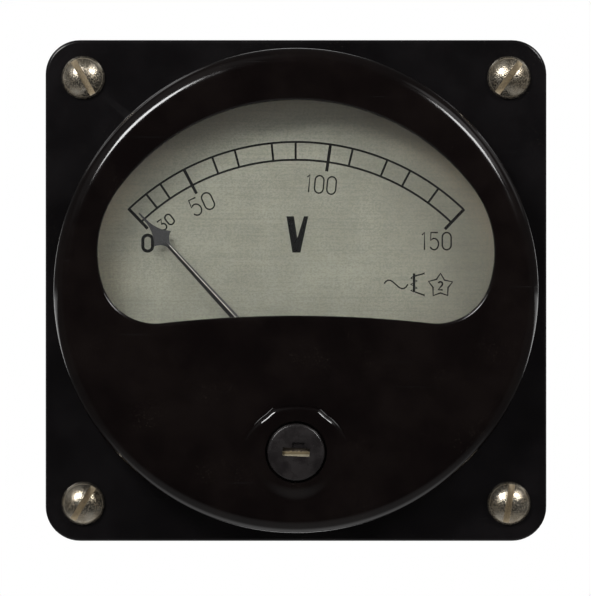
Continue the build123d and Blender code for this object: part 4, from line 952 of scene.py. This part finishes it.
# %% [markdown]
# The print on the dial was drawn by a draughtsman's hand: a double arc with ticks, thin stencil
# figures, a bold V and 0, and three symbols. Each stroke is a poly curve with a round bevel.
# The curves are turned into a mesh, flattened until they are a film of ink, and laid on the dial.

# %% Ink strokes


def bend(center, across, up, start, end, steps=12):
    """Points on an ellipse from one angle to another, counted from +x, anticlockwise."""
    return [
        (
            center[0] + across * cos(radians(start + (end - start) * i / steps)),
            center[1] + up * sin(radians(start + (end - start) * i / steps)),
        )
        for i in range(steps + 1)
    ]


def ink_lines(bm, strokes, width):
    """Adds strokes of (x, z) points in millimetres to a bmesh as a flat film on the dial."""
    curve = bpy.data.curves.new("ink", "CURVE")
    curve.dimensions = "3D"
    curve.bevel_depth = width / 2
    curve.bevel_resolution = 1
    curve.use_fill_caps = True
    for points in strokes:
        closed = points[0] == points[-1]
        points = points[:-1] if closed else points
        spline = curve.splines.new("POLY")
        spline.points.add(len(points) - 1)
        for point, (x, z) in zip(spline.points, points):
            point.co = (x, 0, z, 1)
        spline.use_cyclic_u = closed
    holder = bpy.data.objects.new("ink", curve)
    bpy.context.scene.collection.objects.link(holder)
    mesh = bpy.data.meshes.new_from_object(
        holder.evaluated_get(bpy.context.evaluated_depsgraph_get())
    )
    before = set(bm.verts)
    bm.from_mesh(mesh)
    film = [v for v in bm.verts if v not in before]
    bmesh.ops.scale(bm, vec=(1, 0.06, 1), verts=film)
    bmesh.ops.translate(bm, vec=(0, -dial_front - 0.008, 0), verts=film)
    bpy.data.objects.remove(holder)


zero = bend((0.3, 0.72), 0.3, 0.28, 0, 180) + bend((0.3, 0.28), 0.3, 0.28, 180, 360)
two = bend((0.27, 0.73), 0.26, 0.27, 160, -35, 10)
three = bend((0.25, 0.31), 0.28, 0.3, 80, -150, 12)
five = bend((0.27, 0.33), 0.3, 0.33, 112, -150, 14)
glyphs = {
    "0": (0.6, [zero + [(0.6, 0.72)]]),
    "1": (0.3, [[(0.0, 0.86), (0.16, 1.0), (0.16, 0.0)]]),
    "2": (0.55, [two + [(0.0, 0.0), (0.55, 0.0)]]),
    "3": (0.55, [[(0.03, 1.0), (0.5, 1.0), (0.24, 0.6)] + three]),
    "5": (0.58, [[(0.52, 1.0), (0.06, 1.0), (0.03, 0.55)] + five]),
}


picture_center = (296.0, 290.5)
picture_scale = 6.26


def figure(text, center, height, turn=0.0, wide=1.0, gap=0.24):
    """The strokes of a word of glyphs, centred on a dial point and turned clockwise."""
    advance = sum(glyphs[letter][0] for letter in text) + gap * (len(text) - 1)
    cursor, strokes = -advance / 2, []
    for letter in text:
        width, lines = glyphs[letter]
        for line in lines:
            placed = []
            for x, y in line:
                across, up = (cursor + x) * height * wide, (y - 0.5) * height
                c, s = cos(radians(turn)), sin(radians(turn))
                placed.append((center[0] + across * c + up * s, center[1] - across * s + up * c))
            strokes.append(placed)
        cursor += width + gap
    return strokes


def photo_point(x, y):
    """A dial point in millimetres from its place in the picture, in pixels."""
    return (x - picture_center[0]) / picture_scale, (picture_center[1] - y) / picture_scale


# %% Scale and figures
scale_outer, scale_inner = 38.6, 35.75
scale_start, scale_end = -43.7, 43.9
ticks = (-38.3, -34.2, -20.3, -14.7, -5.8, -0.1, 13.6, 22.2, 28.2, 36.1)
long_ticks = (scale_start, -27.6, 8.2, scale_end)
figures = (
    ("0", (147.8, 243.2), 2.55, 0, 1.0, 0.58),
    ("30", (166.2, 222.2), 1.75, -38, 1.0, 0.3),
    ("50", (202.0, 204.0), 2.75, -25, 0.95, 0.27),
    ("100", (321.4, 184.7), 2.8, 5, 0.84, 0.27),
    ("150", (436.5, 241.2), 2.75, 0, 0.86, 0.27),
)


def tick_mark(angle, inner, outer):
    """A stroke of the scale between two radii at a clock angle."""
    return [clock(inner, angle, pivot), clock(outer, angle, pivot)]


bm = bmesh.new()
angles = [scale_start + (scale_end - scale_start) * i / 120 for i in range(121)]
ink_lines(bm, [[clock(r, a, pivot) for a in angles] for r in (scale_outer, scale_inner)], 0.38)
ink_lines(bm, [tick_mark(a, scale_inner, scale_outer) for a in ticks], 0.4)
ink_lines(bm, [tick_mark(a, scale_inner - 1.5, scale_outer + 0.1) for a in long_ticks], 0.56)
for text, spot, height, turn, wide, width in figures:
    ink_lines(bm, figure(text, photo_point(*spot), height, turn, wide), width)

# %% Symbols: alternating current, moving iron, test voltage
wave = ((384.2, 283.7), (385.6, 281.6), (387.6, 280.3), (390.2, 280.3), (392.6, 281.8))
wave += ((399.0, 287.4), (401.6, 288.7), (403.8, 288.5), (405.8, 287.2), (407.8, 284.3))
zigzag = ((414, 276), (410.7, 278.2), (417, 281), (410.7, 284.4), (417, 288.1))
zigzag += ((410.7, 290.5), (414.5, 292))
iron_bar = ((413.9, 273.4), (413.9, 292))
leads = (((415, 276), (424.2, 273.5)), ((415, 292), (424.2, 295.3)))
dots = [((x - 0.3, y), (x + 0.3, y)) for _, (x, y) in leads]
star = ((440.4, 273.4), (444.4, 280.2), (452.4, 281.9), (447.9, 287.6), (447.5, 295.5))
star += ((440.2, 293.0), (433.0, 295.6), (432.9, 287.4), (428.4, 281.5), (436.3, 279.4), (440.4, 273.4))
star_middle = (440.3, 285.8)
symbols = (
    ([wave], 0.26),
    ([zigzag], 0.28),
    ([iron_bar], 0.38),
    (leads, 0.26),
    (dots, 0.42),
    ([star], 0.28),
)
for strokes, width in symbols:
    ink_lines(bm, [[photo_point(*point) for point in stroke] for stroke in strokes], width)
ink_lines(bm, figure("2", photo_point(*star_middle), 1.28), 0.32)

# %% The bold V
letter = ((286.4, 216.4), (293.9, 216.4), (297.3, 238.2), (303.9, 216.4))
letter += ((308.3, 216.4), (300.4, 252.6), (292.4, 252.6))
corners = [bm.verts.new((x, -dial_front - 0.02, z)) for x, z in (photo_point(*p) for p in letter)]
bm.faces.new(corners)
finish_piece("dial_print", bm, ink, "housing", (), 60, normals=False)

# %% [markdown]
# Everything else keeps its solid and gets the finish of its material. The movement's screws are
# plated, its nuts and arms are brass, the spring is bronze and the pivots are steel.

# %% Finishes on the solids
finish_of = {
    "glass_seal": rubber,
    "glass_retainer": sheet,
    "retainer_screws": zinc,
    "cover_screws": zinc,
    "adjuster_core": core_brass,
    "adjuster_washer": bronze,
    "adjuster_clip": steel,
    "zero_lever": brass,
    "staff": steel,
    "pointer_hub": brass,
    "balance_arms": brass,
    "balance_weights": brass,
    "spring_collet": brass,
    "hairspring": bronze,
    "moving_iron": steel,
    "damping_vane": sheet,
    "movement_plate": sheet,
    "plate_screws": zinc,
    "front_bridge": brass,
    "bridge_screws": zinc,
    "front_bearing": brass,
    "rear_bearing": brass,
    "bearing_nuts": brass,
    "damper_box": sheet,
    "damper_screws": zinc,
    "coil_bobbin": coil_brown,
    "coil_winding": copper,
    "fixed_iron": steel,
    "coil_bracket": sheet,
    "bracket_pillars": brass,
    "bracket_screws": zinc,
    "coil_screws": zinc,
    "dial_plate": dial_face,
    "dial_screws": zinc,
    "series_resistor": glaze,
    "resistor_clip": sheet,
    "resistor_lead": copper,
    "coil_lead_in": copper,
    "coil_lead_out": copper,
    "solder_tags": zinc,
    "terminal_studs": brass,
    "terminal_washers": zinc,
    "terminal_nuts": zinc,
}
for name, material in finish_of.items():
    nodes[name].data.materials.clear()
    nodes[name].data.materials.append(material)
unfinished = [n for n in nodes if n not in finish_of and not nodes[n].hide_render]
print("finished", len(finish_of), "left", unfinished)

# %% [markdown]
# The picture is frontal and almost without perspective, so the camera stands far off with a long
# lens. The picture takes in 94.4 mm across at the flange's face.

# %% Camera
camera_distance = 2.6
picture_width = 0.0944
film_width = 36.0
camera = bpy.data.objects.new("camera", bpy.data.cameras.new("camera"))
bpy.context.scene.collection.objects.link(camera)
camera.data.sensor_fit = "HORIZONTAL"
camera.data.sensor_width = film_width
camera.data.lens = film_width * (camera_distance - flange_front / 1000) / picture_width
camera.data.clip_end = 50.0
camera.location = (-0.00008, -camera_distance, -0.0012)
camera.rotation_euler = (radians(90), 0, 0)
bpy.context.scene.camera = camera

# %% [markdown]
# Two soft boxes stand at the upper left and upper right, 34 to 52 degrees off the dial's axis. They
# put a soft shadow under the window's rim and a streak on each shoulder of the round cover.

# %% Lamps


def toward(azimuth, off_axis, distance=0.9):
    """A place seen from the dial at an angle from +X and an angle off the dial's axis."""
    a, t = radians(azimuth), radians(off_axis)
    return Vector((cos(a) * sin(t), -cos(t), sin(a) * sin(t))) * distance


def softbox(name, start, end, width, power):
    """An area lamp whose long axis runs between two directions (azimuth, off axis)."""
    first, last = toward(*start), toward(*end)
    lamp = bpy.data.lights.new(name, "AREA")
    lamp.shape = "RECTANGLE"
    lamp.size, lamp.size_y = width, (last - first).length
    lamp.energy = power
    holder = bpy.data.objects.new(name, lamp)
    spot = (first + last) / 2
    back = spot.normalized()
    along = (last - first).normalized()
    across = along.cross(back).normalized()
    along = back.cross(across)
    turned = Matrix((across, along, back)).transposed().to_4x4()
    holder.matrix_world = Matrix.Translation(spot) @ turned
    bpy.context.scene.collection.objects.link(holder)


softbox("left box", (143, 44), (118, 34), 0.19, 3.4)
softbox("right box", (51, 43), (33, 52), 0.17, 2.2)

# %% [markdown]
# The world is white for the camera. In reflections it is almost black towards the viewer, as a
# studio is, white far behind the meter and half white below it. Four soft patches, each at an
# angle from +X and an angle off the dial's axis, draw the pale lines on the cover's shoulders.
# Rays that have passed the glass see a dim room in front and the white backdrop behind.

# %% World
world = bpy.data.worlds.new("studio")
bpy.context.scene.world = world
world.use_nodes = True
tree = world.node_tree
tree.nodes.clear()
rays = tree.nodes.new("ShaderNodeLightPath")
direction = tree.nodes.new("ShaderNodeTexCoord")
split = tree.nodes.new("ShaderNodeSeparateXYZ")
tree.links.new(direction.outputs["Generated"], split.inputs[0])
aside = ramp(tree, split.outputs["Y"], -0.8, -0.4, 0.012, 0.05)
below = ramp(tree, split.outputs["Z"], -0.5, -0.8, 0.0, 0.5)
below = calc(tree, "MULTIPLY", below, ramp(tree, split.outputs["Y"], 0.0, 0.35, 0.3, 1.0))
behind = ramp(tree, split.outputs["Y"], 0.88, 0.98)
mirrored = calc(tree, "ADD", aside, below)
lobes = ((131, 128, 0.955, 0.99, 0.9), (128, 64, 0.8, 0.97, 0.12))
lobes += ((44, 68, 0.95, 0.99, 0.9), (33, 112, 0.96, 0.99, 0.3))
for azimuth, off_axis, outer, inner, level in lobes:
    near = tree.nodes.new("ShaderNodeVectorMath")
    near.operation = "DOT_PRODUCT"
    tree.links.new(direction.outputs["Generated"], near.inputs[0])
    near.inputs[1].default_value = toward(azimuth, off_axis, 1.0)
    lobe = ramp(tree, near.outputs["Value"], outer, inner, 0.0, level)
    mirrored = calc(tree, "ADD", mirrored, lobe)
mirrored = calc(tree, "MAXIMUM", mirrored, behind)
soft = calc(tree, "MULTIPLY", rays.outputs["Is Diffuse Ray"], 0.36)
strength = calc(tree, "ADD", soft, calc(tree, "MULTIPLY", rays.outputs["Is Glossy Ray"], mirrored))
through = ramp(tree, split.outputs["Y"], 0.1, 0.3, 0.36, 1.0)
through = calc(tree, "MULTIPLY", rays.outputs["Is Transmission Ray"], through)
seen = calc(tree, "MAXIMUM", rays.outputs["Is Camera Ray"], through)
strength = calc(tree, "MAXIMUM", strength, seen)
background = tree.nodes.new("ShaderNodeBackground")
background.inputs["Color"].default_value = (1, 1, 1, 1)
tree.links.new(strength, background.inputs["Strength"])
out = tree.nodes.new("ShaderNodeOutputWorld")
tree.links.new(background.outputs[0], out.inputs["Surface"])

# %% [markdown]
# The floor is a plain pale plane well below the meter. Near the meter it is matt, so that it
# keeps the shadow, and farther out it turns pure white for the camera and for reflections. The
# part in front of the meter is left out of reflections, so that the cover's lower edge stays dark.

# %% Floor
floor_height = -0.06
floor_white, tree, shader = finish("Floor", (0.8, 0.8, 0.8), 0.9)
glow = tree.nodes.new("ShaderNodeEmission")
mix = tree.nodes.new("ShaderNodeMixShader")
rays = tree.nodes.new("ShaderNodeLightPath")
spread = tree.nodes.new("ShaderNodeVectorMath")
spread.operation = "LENGTH"
tree.links.new(place(tree), spread.inputs[0])
far = ramp(tree, spread.outputs["Value"], 0.15, 0.45)
seen = calc(tree, "MAXIMUM", rays.outputs["Is Camera Ray"], rays.outputs["Is Glossy Ray"])
seen = calc(tree, "MAXIMUM", seen, rays.outputs["Is Transmission Ray"])
tree.links.new(calc(tree, "MULTIPLY", seen, far), mix.inputs["Fac"])
tree.links.new(shader.outputs[0], mix.inputs[1])
tree.links.new(glow.outputs[0], mix.inputs[2])
tree.links.new(mix.outputs[0], tree.nodes["Material Output"].inputs["Surface"])
for name, near_y, far_y in (("floor behind", 0.25, 4.0), ("floor in front", -3.0, 0.25)):
    bm = bmesh.new()
    bmesh.ops.create_grid(bm, x_segments=2, y_segments=2, size=1.0)
    size = Matrix.Diagonal((4, (far_y - near_y) / 2, 1, 1))
    spot = Matrix.Translation((0, (far_y + near_y) / 2, floor_height))
    bmesh.ops.transform(bm, matrix=spot @ size, verts=bm.verts)
    mesh = bpy.data.meshes.new(name)
    bm.to_mesh(mesh)
    bm.free()
    mesh.materials.append(floor_white)
    floor = bpy.data.objects.new(name, mesh)
    bpy.context.scene.collection.objects.link(floor)
    floor.visible_glossy = near_y > 0

# %% [markdown]
# Last, the picture's view settings.

# %% Finish
bpy.context.scene.view_settings.view_transform = "Standard"
